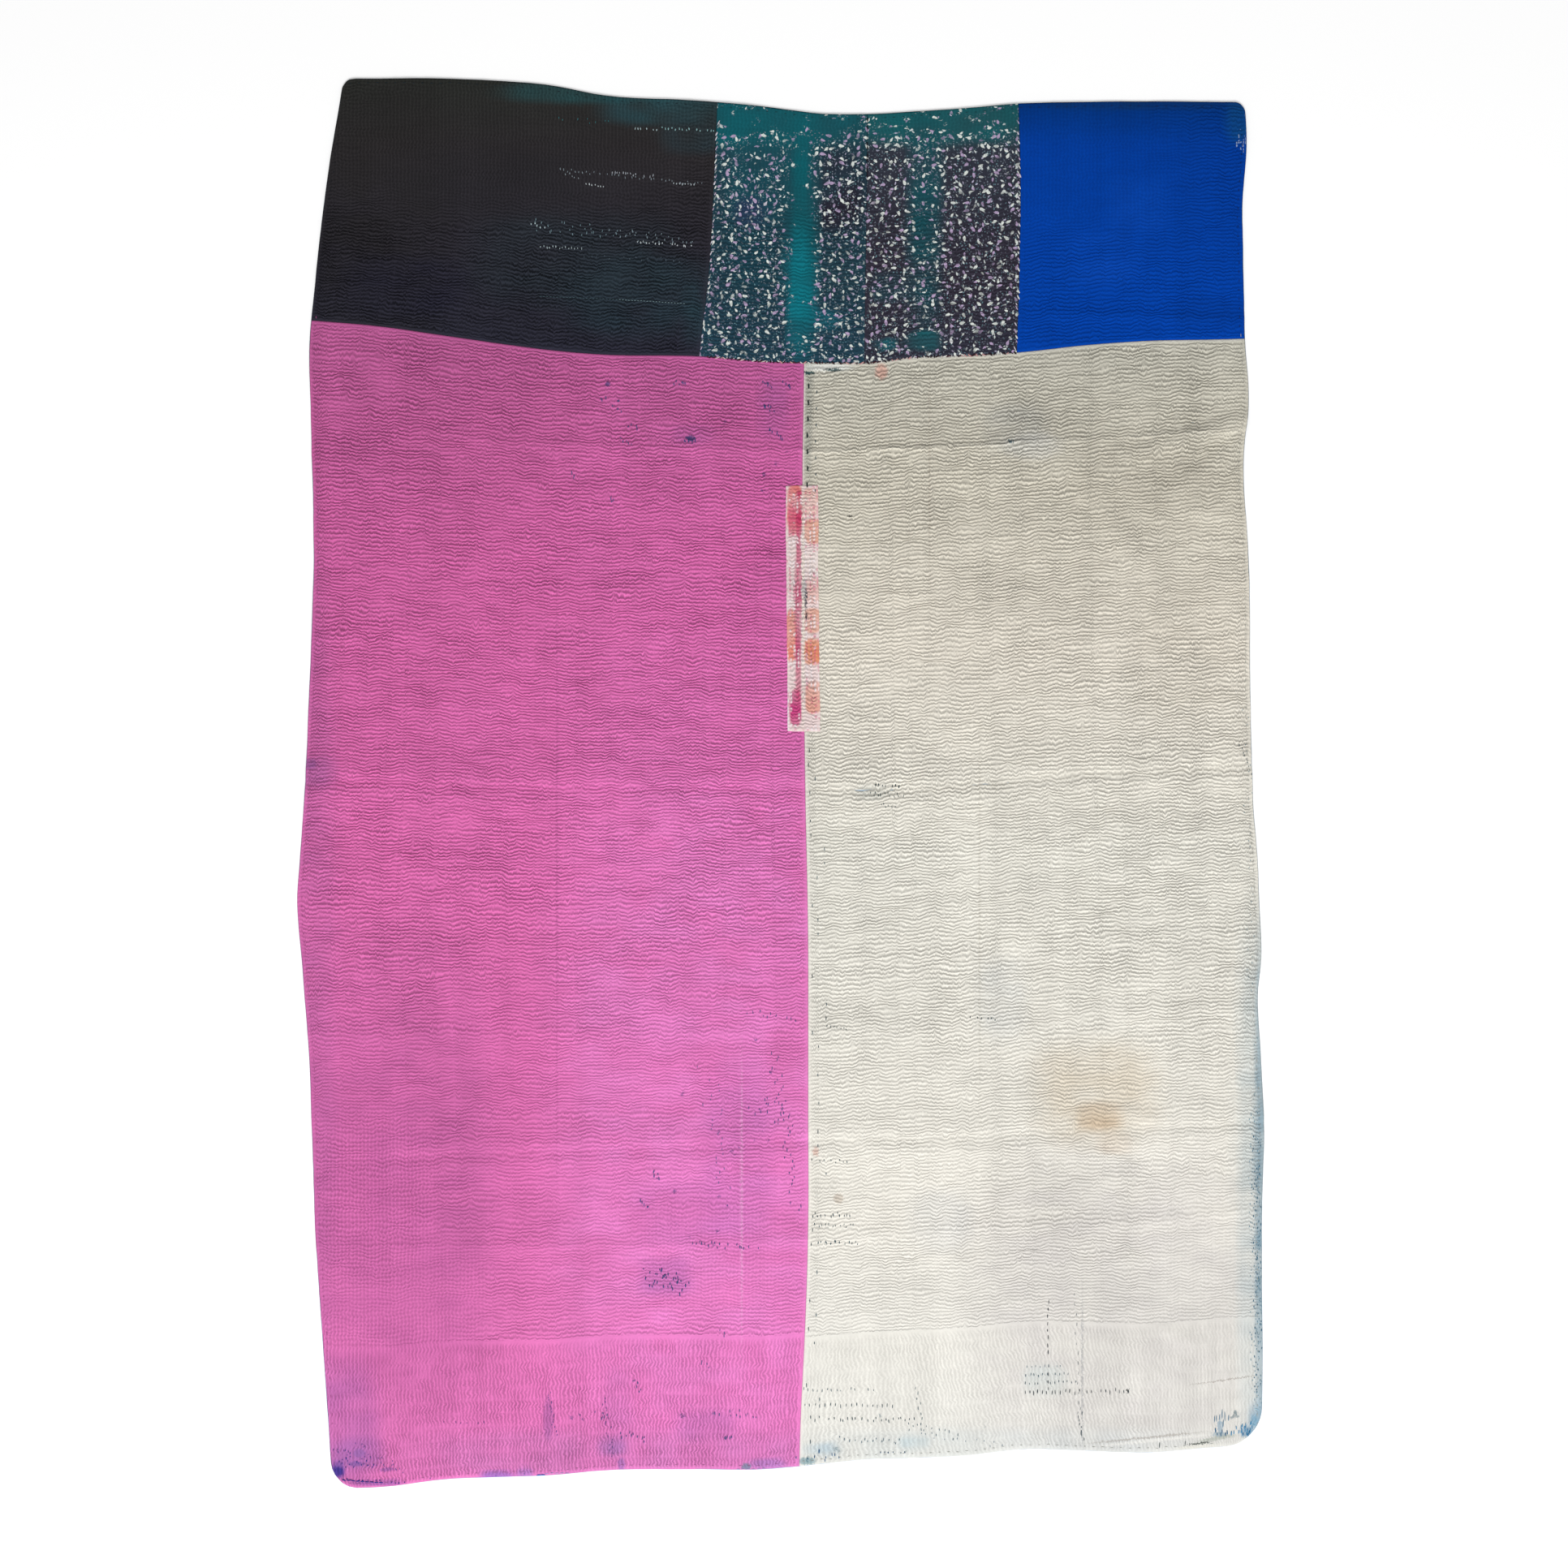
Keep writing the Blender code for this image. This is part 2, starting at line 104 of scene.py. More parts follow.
cornerRadii = {
    ("leftEdge", "bottomEdge"): 0.036,
    ("rightEdge", "bottomEdge"): 0.058,
    ("leftEdge", "topEdge"): 0.016,
    ("rightEdge", "topEdge"): 0.016,
}


def sideAt(name, y):
    # Where an upright line of the quilt is, at a height.
    return np.interp(y, *sideSamples[name])


def endAt(name, x):
    # Where a level line of the quilt is, at a place across.
    return np.interp(x, *endSamples[name])


# The tables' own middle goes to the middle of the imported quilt.
tableMiddle = (
    (sideSamples["leftEdge"][1].min() + sideSamples["rightEdge"][1].max()) / 2,
    (endSamples["bottomEdge"][1].min() + endSamples["topEdge"][1].max()) / 2,
)
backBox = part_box("back_cloth")
shift = [(backBox[0][axis] + backBox[1][axis]) / 2 - tableMiddle[axis] for axis in range(2)]

layers = {"backThick": 0.0015, "gap": 0.0003, "topThick": 0.0016}
backTop = layers["backThick"]
topUnder = backTop + layers["gap"]
topFace = topUnder + layers["topThick"]

foldTable = (
    # line, shoulder height, shoulder half width, ridge height, ridge half width, fades in from x, to x
    ("upperFold", 0.0012, 0.050, 0.0022, 0.020, -0.66, -0.46),
    ("upperFold", 0.0000, 0.050, 0.0019, 0.0058, -0.02, 0.06),
    ("middleFold", 0.0042, 0.070, -0.0036, 0.016, -1.00, -0.90),
    ("lowerFold", 0.0034, 0.060, -0.0029, 0.016, -0.64, -0.50),
    ("highCrease", 0.0000, 0.050, 0.0014, 0.022, -1.00, -0.90),
    ("lowCrease", 0.0000, 0.050, 0.0011, 0.020, -1.00, -0.90),
    ("footCrease", 0.0000, 0.050, 0.0014, 0.018, -1.00, -0.90),
)
swellTable = (
    # x, y, half length, half width, turn in degrees, height
    (0.575, 0.400, 0.200, 0.075, 38, 0.0060),
    (0.470, 0.470, 0.150, 0.060, -28, 0.0040),
    (-0.640, 0.260, 0.150, 0.090, 12, 0.0050),
    (-0.560, 0.420, 0.170, 0.080, -30, 0.0035),
    (0.560, 0.800, 0.160, 0.090, 40, 0.0040),
    (0.640, -0.150, 0.170, 0.080, 78, 0.0045),
    (-0.100, -0.200, 0.220, 0.100, 62, 0.0040),
    (0.420, -0.480, 0.170, 0.080, 55, 0.0040),
    (-0.640, -0.170, 0.150, 0.070, 84, 0.0040),
    (0.560, -0.860, 0.160, 0.090, 20, 0.0035),
    (-0.400, 0.860, 0.200, 0.090, 15, 0.0035),
)
wrinkleTable = (
    # from x, y, to x, y, half width, height
    (-0.540, 0.480, -0.435, 0.350, 0.020, 0.0022),
    (-0.150, 0.482, -0.020, 0.440, 0.018, 0.0016),
    (0.505, 0.484, 0.705, 0.548, 0.021, 0.0072),
    (0.690, 0.510, 0.560, 0.420, 0.020, 0.0046),
    (0.429, 0.802, 0.601, 0.936, 0.034, 0.0026),
    (0.390, 0.700, 0.690, 0.690, 0.014, 0.0024),
    (0.440, 0.470, 0.560, 0.300, 0.028, 0.0044),
    (0.560, 0.300, 0.640, 0.120, 0.030, 0.0022),
    (0.600, 0.405, 0.690, 0.395, 0.018, 0.0018),
    (0.420, -0.460, 0.455, -0.500, 0.010, 0.0018),
    (0.470, -0.480, 0.570, -0.500, 0.014, 0.0016),
    (-0.115, -0.190, -0.100, -0.240, 0.010, 0.0012),
    (0.555, -0.805, 0.640, -0.840, 0.018, 0.0022),
    (0.570, 0.870, 0.460, 0.760, 0.030, 0.0026),
    (-0.345, -0.560, -0.328, -0.690, 0.007, 0.0010),
    (0.440, -0.228, 0.700, -0.216, 0.014, 0.0010),
    (0.430, -0.340, 0.690, -0.330, 0.014, 0.0009),
    (0.620, -0.886, 0.712, -0.874, 0.010, 0.0016),
    (-0.690, 0.215, -0.610, 0.225, 0.020, 0.0026),
    (-0.690, 0.300, -0.600, 0.320, 0.022, 0.0022),
    (-0.640, -0.050, -0.520, -0.060, 0.040, 0.0016),
)


def softNoise(seed, a, b, cellA, cellB):
    # Smooth noise from -1 to 1 over two coordinates, with its own seeded lattice.
    rng = np.random.default_rng(seed)
    grid = rng.uniform(-1, 1, (256, 256))
    a = np.asarray(a) / cellA
    b = np.asarray(b) / cellB
    ia, ib = np.floor(a).astype(int), np.floor(b).astype(int)
    fa, fb = a - ia, b - ib
    fa, fb = fa * fa * (3 - 2 * fa), fb * fb * (3 - 2 * fb)
    low = grid[ia % 256, ib % 256] * (1 - fa) + grid[(ia + 1) % 256, ib % 256] * fa
    high = grid[ia % 256, (ib + 1) % 256] * (1 - fa) + grid[(ia + 1) % 256, (ib + 1) % 256] * fa
    return low * (1 - fb) + high * fb


def roundBump(reach):
    return np.where(reach < 1, 0.5 + 0.5 * np.cos(np.pi * np.minimum(reach, 1)), 0)


def tentBump(reach):
    return np.clip(1 - reach, 0, 1) ** 1.5


def easeBetween(value, start, end):
    share = np.clip((value - start) / (end - start), 0, 1)
    return share * share * (3 - 2 * share)


def layHeight(x, y):
    # How high the quilt's underside lies above the surface.
    height = 0.0007 * np.clip(softNoise(5, x, y, 0.085, 0.060) + 0.2, 0, 1)
    for line, shoulder, shoulderHalf, ridge, ridgeHalf, fadeStart, fadeEnd in foldTable:
        away = np.abs(y - endAt(line, x) - 0.0016 * softNoise(9, x, x * 0, 0.030, 1))
        shape = shoulder * roundBump(away / shoulderHalf)
        shape = shape + ridge * tentBump(away / ridgeHalf) * (0.85 + 0.3 * softNoise(8, x, y, 0.05, 0.2))
        height = height + np.maximum(shape, 0) * easeBetween(x, fadeStart, fadeEnd)
    for middleX, middleY, halfLength, halfWidth, turn, rise in swellTable:
        angle = math.radians(turn)
        along = (x - middleX) * math.cos(angle) + (y - middleY) * math.sin(angle)
        side = (y - middleY) * math.cos(angle) - (x - middleX) * math.sin(angle)
        height = height + rise * roundBump(np.hypot(along / halfLength, side / halfWidth))
    for x0, y0, x1, y1, halfWidth, rise in wrinkleTable:
        length = math.hypot(x1 - x0, y1 - y0)
        share = ((x - x0) * (x1 - x0) + (y - y0) * (y1 - y0)) / length ** 2
        near = np.clip(share, 0, 1)
        away = np.hypot(x - x0 - near * (x1 - x0), y - y0 - near * (y1 - y0))
        taper = easeBetween(share, -0.15, 0.25) * (1 - easeBetween(share, 0.75, 1.15))
        height = height + rise * roundBump(away / halfWidth) * taper
    return height


def hexColour(text):
    parts = [int(text[i:i + 2], 16) / 255 for i in (0, 2, 4)]
    return np.array([p / 12.92 if p <= 0.04045 else ((p + 0.055) / 1.055) ** 2.4 for p in parts])


def softBox(x, y, middleX, middleY, halfX, halfY, firm=0.45):
    reach = (np.abs((x - middleX) / halfX) ** 3 + np.abs((y - middleY) / halfY) ** 3) ** (1 / 3)
    return 1 - easeBetween(reach, firm, 1.0)


def paintDyeAndFoldLight(x, y, cloth):
    # Dye along the length first, then the patches where it differs, then a painted highlight and painted
    # shade along the folds. On the pink and cream cloths the dye along the length also grows darker towards
    # the top, partly painted shade for the light falling off there.
    heights = [row[0] for row in cloth["dyeAndShadeAlong"]]
    colours = np.array([hexColour(row[1]) for row in cloth["dyeAndShadeAlong"]])
    dye = np.stack([np.interp(y, heights, colours[:, i]) for i in range(3)], 1)
    for middleX, middleY, halfX, halfY, colour, share in cloth["dyePatches"]:
        weight = softBox(x, y, middleX, middleY, halfX, halfY, cloth.get("firmness", 0.45)) * share
        weight = weight * (0.8 + 0.35 * softNoise(21, x, y, 0.035, 0.022))
        weight = np.clip(weight, 0, 1)[:, None]
        dye = dye * (1 - weight) + hexColour(colour) * weight
    tone = 1 + 0.035 * softNoise(31, x, y, 0.09, 0.05) + 0.040 * softNoise(32, x, y, 0.014, 0.30)
    tone = tone + 0.030 * softNoise(34, x, y, 0.040, 0.012)
    # Along each fold line, a painted highlight just below it and painted shade just above it.
    for line, start, end, bright, dark in cloth.get("foldHighlightAndShade", ()):
        above = y - endAt(line, x) - 0.0016 * softNoise(9, x, x * 0, 0.030, 1)
        reach = easeBetween(x, start, start + 0.03) * (1 - easeBetween(x, end - 0.08, end))
        reach = reach * (0.85 + 0.4 * softNoise(33, x, y, 0.02, 0.2))
        tone = tone + reach * bright * np.exp(-((above + 0.0026) / 0.0015) ** 2)
        tone = tone - reach * dark * np.exp(-((above - 0.0016) / 0.0018) ** 2)
    return dye * tone[:, None]


def paintWorn(x, y, cloth):
    worn = np.zeros_like(x)
    for middleX, middleY, halfX, halfY, share in cloth["wornPlaces"]:
        worn = np.maximum(worn, softBox(x, y, middleX, middleY, halfX, halfY) * share)
    return worn


# The ripples that the running stitches draw up, in quarters: groove, side, crest, side.
# The turned values are for the end below the join, where the stitch lines run across.
quilting = {
    "pitch": 0.0057,
    "height": 0.00135,
    "quarters": (0.0, 0.50, 1.0, 0.56),
    "stitchGap": 0.0125,
    "jog": 0.0024,
    "turnedRow": 0.0075,
    "turnedRun": 0.0190,
    "turnedLine": 0.012,
    "turnedBand": 0.0080,
    "plainRows": 4,
}
borderLines = {
    "outer": (0.0, 0.0012, 0.0035, 0.007, 0.013, 0.020),
    "seam": (0.0, 0.0012, 0.0035, 0.008),
    "hem": (0.0, 0.0010, 0.0028, 0.0060, 0.0110, 0.0160),
    "rim": (0.0, 0.0012, 0.0035, 0.008, 0.020),
    "strip": (0.0, 0.0008, 0.0030),
}


def stitchLines(width, rng, cloth):
    # Stitch lines run up the cloth, a little unevenly. The edges have closer lines.
    gap = cloth["stitchGap"]
    left = np.array(borderLines[cloth["edges"]["left"]])
    right = np.array(borderLines[cloth["edges"]["right"]])
    start, end = left[-1] + gap * 0.8, width - right[-1] - gap * 0.8
    count = max(1, round((end - start) / gap))
    inner = np.linspace(start, end, count + 1)
    inner[1:-1] += rng.uniform(-0.3, 0.3, count - 1) * gap
    return np.concatenate([left, inner, width - right[::-1]])


def clothRows(cloth, rng):
    # Rows from the cloth's lower to its upper edge, each with its stations across.
    left, right = cloth["sides"]
    bottom, top = cloth["ends"]
    middleX = np.mean([sideAt(left, 0.0), sideAt(right, 0.0)])
    height = float(endAt(top, middleX) - endAt(bottom, middleX))
    middleY = endAt(bottom, middleX) + height / 2
    width = float(sideAt(right, middleY) - sideAt(left, middleY))
    lines = stitchLines(width, rng, cloth)
    turned = cloth["turnedHeight"]
    pitch, steps = cloth["pitch"], len(cloth["quarters"])
    fine, keys = [lines[0]], [0]
    for low, high in zip(lines, lines[1:]):
        parts = max(1, round((high - low) / pitch * 4)) if turned else 1
        fine += list(low + (high - low) * np.arange(1, parts + 1) / parts)
        keys.append(len(fine) - 1)
    ripples = round((height - turned) / pitch)
    spacing = 1 + 0.15 * softNoise(cloth["seed"], np.arange(ripples) * 1.0, 0.0, 6, 1)
    starts = np.concatenate([[0], np.cumsum(spacing)])
    starts = turned + (height - turned) * starts / starts[-1]
    quarter = np.arange(ripples * steps + 1) / steps
    mainHeights = np.interp(quarter, np.arange(ripples + 1), starts)
    rows = []
    if turned:
        near = list(borderLines["outer"])
        count = round((turned - near[-1]) / quilting["turnedRow"])
        rows += [(h, None, list(range(len(fine)))) for h in near]
        rows += [(h, None, list(range(len(fine)))) for h in np.linspace(near[-1], turned, count + 1)[1:]]
        mainHeights, quarter = mainHeights[1:], quarter[1:]
    rows += [(h, q, keys) for h, q in zip(mainHeights, quarter)]
    return width, height, np.array(fine), keys, rows


def clothPlace(across, along, cloth):
    # Shares of the width and the height become a place between the cloth's four lines.
    left, right = cloth["sides"]
    bottom, top = cloth["ends"]
    y = endAt(bottom, 0.0) + along * (endAt(top, 0.0) - endAt(bottom, 0.0))
    for _ in range(8):
        x = sideAt(left, y) + across * (sideAt(right, y) - sideAt(left, y))
        y = endAt(bottom, x) + along * (endAt(top, x) - endAt(bottom, x))
    return x, y


def roundCorners(x, y):
    # The quilt's four corners are rounded within their radii.
    x, y = x.copy(), y.copy()
    for (side, end), radius in cornerRadii.items():
        xSign = 1 if side == "rightEdge" else -1
        ySign = 1 if end == "topEdge" else -1
        across = 1 - xSign * (sideAt(side, y) - x) / radius
        along = 1 - ySign * (endAt(end, x) - y) / radius
        inside = (across > 0) & (along > 0)
        newAcross = across * np.sqrt(np.clip(1 - along ** 2 / 2, 0, 1))
        newAlong = along * np.sqrt(np.clip(1 - across ** 2 / 2, 0, 1))
        x += np.where(inside, xSign * (newAcross - across) * radius, 0)
        y += np.where(inside, ySign * (newAlong - along) * radius, 0)
    return x, y


def pullEdges(x, y, distance, cloth):
    # Seams part by half the gap. The outer hem is pulled in unevenly, so the under-cloth shows.
    for edge, xWay, yWay in (("left", 1, 0), ("right", -1, 0), ("bottom", 0, 1), ("top", 0, -1)):
        run = y if xWay else x
        slow = softNoise(41, run, run * 0 + 3 * xWay, 0.055, 1)
        quick = softNoise(42, run, run * 0 + 3 * xWay, 0.011, 1)
        wave = np.clip(0.5 + 0.4 * slow + 0.2 * quick, 0, 1)
        amount = {"seam": 0.0002, "hem": 0.0, "strip": 0.0014 * wave, "outer": 0.0003 + 0.0015 * wave,
                  "rim": 0.0007 * wave}
        fade = np.clip(1 - distance[edge] / 0.02, 0, 1)
        x = x + xWay * amount[cloth["edges"][edge]] * fade
        y = y + yWay * amount[cloth["edges"][edge]] * fade
    return x, y


def rowFaces(rows, flip):
    # Faces between rows. Rows with other stations meet where both have one.
    faces = []
    for (keysA, vertsA), (keysB, vertsB) in zip(rows, rows[1:]):
        shared = sorted(set(keysA) & set(keysB))
        placeA = {key: i for i, key in enumerate(keysA)}
        placeB = {key: i for i, key in enumerate(keysB)}
        for low, high in zip(shared, shared[1:]):
            lower = vertsA[placeA[low]:placeA[high] + 1]
            upper = vertsB[placeB[low]:placeB[high] + 1]
            loop = lower + upper[::-1]
            faces.append(loop[::-1] if flip else loop)
    return faces


def rimFaces(fineRows, plainRows, plainOf, flip):
    # The rim joins the rippled side to the plain side, along the two ends and up the two sides.
    faces = []
    for end, turn in ((0, True), (-1, False)):
        for (_, lowRow), (_, highRow), low, high in zip(plainRows, plainRows[1:], plainOf, plainOf[1:]):
            loop = [lowRow[end]] + [fineRows[r][1][end] for r in range(low, high + 1)] + [highRow[end]]
            faces.append(loop[::-1] if turn == flip else loop)
    for end, turn in ((0, False), (-1, True)):
        fineRow, plainRow = fineRows[end][1], plainRows[end][1]
        for i in range(len(fineRow) - 1):
            loop = [plainRow[i], plainRow[i + 1], fineRow[i + 1], fineRow[i]]
            faces.append(loop[::-1] if turn != flip else loop)
    return faces


def sheetMesh(name, verts, faces, values, uv):
    # One mesh in the part's frame, with its painted values and its sewing coordinates.
    verts = verts + np.array([shift[0], shift[1], 0])
    mesh = bpy.data.meshes.new(name)
    mesh.from_pydata(verts.tolist(), [], faces)
    mesh.update()
    mesh.shade_smooth()
    dye = mesh.attributes.new("dye", "FLOAT_COLOR", "POINT")
    dye.data.foreach_set("color", np.concatenate([values["dye"], np.ones((len(verts), 1))], 1).ravel())
    for label in ("worn", "relief", "turned"):
        layer = mesh.attributes.new(label, "FLOAT", "POINT")
        layer.data.foreach_set("value", values[label].astype(np.float32))
    corner = np.zeros(len(mesh.loops), int)
    mesh.loops.foreach_get("vertex_index", corner)
    layer = mesh.uv_layers.new(name="quilting")
    layer.data.foreach_set("uv", uv[corner].astype(np.float32).ravel())
    piece = bpy.data.objects.new(name, mesh)
    bpy.context.scene.collection.objects.link(piece)
    print("stage:", name, "made,", sum(len(face) - 2 for face in faces), "triangles")
    return piece


def rippleRelief(x, y, along, lineAt, numberAt, cloth):
    # How high the ripples stand, and how far short ticks take their place where the cloth lies flat.
    seed, turned = cloth["seed"], cloth["turnedHeight"]
    relief = 0.86 + 0.30 * softNoise(seed + 5, lineAt, numberAt * 2.9, 1.7, 1)
    relief += 0.16 * softNoise(seed + 6, x, y, 0.06, 0.05)
    turnedShare = np.zeros_like(x)
    for middleX, middleY, halfX, halfY, share, ticks in cloth["flatPlaces"]:
        place = softBox(x, y, middleX, middleY, halfX, halfY)
        relief *= 1 - share * place
        turnedShare = np.maximum(turnedShare, ticks * place)
    for x0, y0, x1, y1, share, ticks in cloth.get("mitres", ()):
        # Left of the line from its upper to its lower end the ripples are low.
        beside = ((x - x0) * (y1 - y0) - (y - y0) * (x1 - x0)) / math.hypot(x1 - x0, y1 - y0)
        low = easeBetween(beside, -0.004, 0.010) * (1 - easeBetween(y, y0 + 0.02, y0 + 0.10))
        relief *= 1 - share * low
        turnedShare = np.maximum(turnedShare, ticks * low)
    if turned:
        relief *= easeBetween(np.abs(along - turned), 0.0010, 0.0038)
    relief *= np.interp(y, [row[0] for row in cloth["reliefAlong"]], [row[1] for row in cloth["reliefAlong"]])
    return relief, turnedShare


def plainSide(rows, starts, lineKeys, cloth):
    # The plain side has every few rows and lines, and all stations in its first and last row.
    kept = set(lineKeys[::cloth["plainEvery"]]) | {lineKeys[0], lineKeys[-1]}
    plainOf = sorted(set(range(0, len(rows), quilting["plainRows"])) | {len(rows) - 1})
    fineRows = [(keys, list(range(starts[r], starts[r + 1]))) for r, (_, _, keys) in enumerate(rows)]
    plainRows, plainPick = [], []
    for r in plainOf:
        whole = r in (0, len(rows) - 1)
        picks = [(k, v) for k, v in zip(*fineRows[r]) if whole or k in kept]
        first = int(starts[-1]) + len(plainPick)
        plainRows.append(([k for k, _ in picks], list(range(first, first + len(picks)))))
        plainPick += [v for _, v in picks]
    return fineRows, plainRows, plainOf, plainPick


def paintBands(dye, distance, y, cloth):
    # Narrow bands of another dye along the edges.
    for edge, start, end, colour, share, fadeStart, fadeEnd in cloth.get("edgeBands", ()):
        band = (distance[edge] >= start - 0.0001) & (distance[edge] <= end + 0.0001)
        band = (band * share * easeBetween(y, fadeStart, fadeEnd))[:, None]
        dye = dye * (1 - band) + hexColour(colour) * band
    return dye


def sewnSheet(name, cloth):
    # One closed sheet: a rippled side, a plain side with fewer stations, and the rim between.
    seed = cloth["seed"]
    rng = np.random.default_rng(seed)
    width, height, fine, lineKeys, rows = clothRows(cloth, rng)
    fineLine = np.interp(np.arange(len(fine)), lineKeys, np.arange(len(lineKeys)))
    key = np.concatenate([keys for _, _, keys in rows])
    along = np.concatenate([np.full(len(keys), h) for h, _, keys in rows])
    quarter = np.concatenate([np.full(len(keys), -1.0 if q is None else q) for _, q, keys in rows])
    main = quarter >= 0
    line, across = fineLine[key], fine[key]
    turned = cloth["turnedHeight"]
    # Stitches of one line lie a little higher or lower than those of the next, over a few rows.
    jog = np.tanh(3.6 * softNoise(seed + 1, across, along, quilting["stitchGap"], 0.026))
    jog += 0.60 * softNoise(seed + 2, across, along, quilting["stitchGap"] * 0.6, 0.012)
    jog *= cloth.get("jogShare", 1.0)
    hold = easeBetween(along, turned, turned + 0.012) * (1 - easeBetween(along, height - 0.012, height))
    hold *= easeBetween(across, 0, 0.006) * (1 - easeBetween(across, width - 0.006, width))
    placedAlong = along + np.where(main, jog * hold * quilting["jog"], 0)
    # Where the stitch lines turn, the ripples stand upright or slant.
    sway = 0.0014 * np.tanh(3 * softNoise(seed + 3, across, along, 0.030, 0.0125))
    sway += 0.0007 * softNoise(seed + 7, across, along, 0.014, 0.010)
    sway *= easeBetween(along, 0, 0.01)
    inner = easeBetween(across, 0, 0.2) * (1 - easeBetween(across, width - 0.2, width))
    slant = cloth.get("turnedSlant", 0) * (turned - along) * inner
    sway *= easeBetween(across, 0, 0.01) * (1 - easeBetween(across, width - 0.01, width))
    placedAcross = across + np.where(main, 0, sway + slant)
    x, y = clothPlace(placedAcross / width, placedAlong / height, cloth)
    distance = {"left": across, "right": width - across, "bottom": along, "top": height - along}
    x, y = roundCorners(x, y)
    x, y = pullEdges(x, y, distance, cloth)
    # Relief is weaker in places, and here and there two crests run together.
    number = np.floor(np.maximum(quarter, 0) + 1e-6)
    lineAt = np.where(main, line, across / quilting["turnedLine"])
    numberAt = np.where(main, number, along / quilting["turnedBand"])
    steps = np.array(cloth["quarters"])
    part = np.round((np.maximum(quarter, 0) - number) * len(steps)).astype(int) % len(steps)
    crest = np.where(main, steps[part], np.array(quilting["quarters"])[key % 4])
    merge = easeBetween(softNoise(seed + 4, line, number * 5.3, 2.6, 1), 0.55, 0.9)
    crest = np.where(main & (part == 0), crest + 0.6 * merge, crest)
    relief, turnedShare = rippleRelief(x, y, along, lineAt, numberAt, cloth)
    relief = np.where(main, relief, relief * cloth.get("turnedRelief", 1))
    nearest = np.minimum.reduce([distance[edge] for edge in distance])
    relief = np.clip(relief, 0.0, 1.4) * (0.25 + 0.75 * easeBetween(nearest, 0.001, 0.008))
    lay = layHeight(x, y)
    wave = quilting["height"] * cloth["relief"] * relief * (crest - 0.5)
    if cloth["rippledBelow"]:
        fineZ = np.maximum(lay + 0.0005 - wave, lay * 0)
        plainZ = lay + backTop
    else:
        settle = 1 - easeBetween(nearest, 0, 0.0045)
        fineZ = lay + cloth["face"] + wave - settle * cloth["edgeDrop"]
        plainZ = lay + cloth["under"]
    starts = np.cumsum([0] + [len(keys) for _, _, keys in rows])
    fineRows, plainRows, plainOf, plainPick = plainSide(rows, starts, lineKeys, cloth)
    below = cloth["rippledBelow"]
    faces = rowFaces(fineRows, below) + rowFaces(plainRows, not below)
    faces += rimFaces(fineRows, plainRows, plainOf, below)
    everyone = np.concatenate([np.arange(len(key)), plainPick]).astype(int)
    isPlain = np.arange(len(everyone)) >= len(key)
    verts = np.stack([x, y, fineZ], 1)[everyone]
    verts[isPlain, 2] = plainZ[everyone][isPlain]
    # The dye holds painted highlight and painted shade along the folds, and a darkening towards the top that
    # is partly painted shade.
    dye = paintBands(paintDyeAndFoldLight(x, y, cloth), distance, y, cloth)
    values = {
        "dye": dye[everyone],
        "worn": paintWorn(x, y, cloth)[everyone],
        "relief": np.where(isPlain, 0.3, relief[everyone]),
        "turned": turnedShare[everyone],
    }
    acrossLines = np.where(main, line * cloth.get("lineShare", 1.0), along / quilting["turnedRun"])
    alongRows = np.where(main, quarter, key / 4)
    uv = np.stack([acrossLines, alongRows], 1)[everyone]
    return sheetMesh(name, verts, faces, values, uv)


# Shader helpers.
def feed(tree, socket, value):
    if isinstance(value, bpy.types.NodeSocket):
        tree.links.new(value, socket)
    else:
        socket.default_value = value


def put(tree, kind, settings, *values, out=0):
    made = tree.nodes.new("ShaderNode" + kind)
    for name, value in settings.items():
        setattr(made, name, value)
    for socket, value in zip(made.inputs, values):
        if value is not None:
            feed(tree, socket, value)
    return made.outputs[out]


def maths(tree, operation, *values):
    return put(tree, "Math", {"operation": operation}, *values)


def mixColour(tree, share, low, high, blend="MIX"):
    made = tree.nodes.new("ShaderNodeMix")
    made.data_type = "RGBA"
    made.blend_type = blend
    for index, value in ((0, share), (6, low), (7, high)):
        feed(tree, made.inputs[index], value)
    return made.outputs[2]


def ramp(tree, value, low, high, toLow=0.0, toHigh=1.0):
    made = tree.nodes.new("ShaderNodeMapRange")
    made.interpolation_type = "SMOOTHSTEP"
    for socket, entry in zip(made.inputs, (value, low, high, toLow, toHigh)):
        feed(tree, socket, entry)
    return made.outputs[0]


def stretched(tree, place, x, y, z=1.0):
    return put(tree, "VectorMath", {"operation": "MULTIPLY"}, place, (x, y, z))


def noise(tree, place, scale, detail=2.0, colour=False):
    made = tree.nodes.new("ShaderNodeTexNoise")
    made.noise_dimensions = "3D"
    feed(tree, made.inputs["Vector"], place)
    made.inputs["Scale"].default_value = scale
    made.inputs["Detail"].default_value = detail
    return made.outputs[1 if colour else 0]


def shaken(tree, place, ragged, reach):
    # The place moved to and fro by a colour noise.
    ragged = put(tree, "VectorMath", {"operation": "SUBTRACT"}, ragged, (0.5, 0.5, 0.5))
    return put(tree, "VectorMath", {"operation": "MULTIPLY_ADD"}, ragged, reach, place)


def newGroup(name, inputs, outputs):
    tree = bpy.data.node_groups.new(name, "ShaderNodeTree")
    for label, kind in inputs:
        tree.interface.new_socket(label, in_out="INPUT", socket_type="NodeSocket" + kind)
    for label, kind in outputs:
        tree.interface.new_socket(label, in_out="OUTPUT", socket_type="NodeSocket" + kind)
    return tree, tree.nodes.new("NodeGroupInput"), tree.nodes.new("NodeGroupOutput")


def useGroup(tree, group, *values):
    made = tree.nodes.new("ShaderNodeGroup")
    made.node_tree = group
    for socket, value in zip(made.inputs, values):
        feed(tree, socket, value)
    return made.outputs


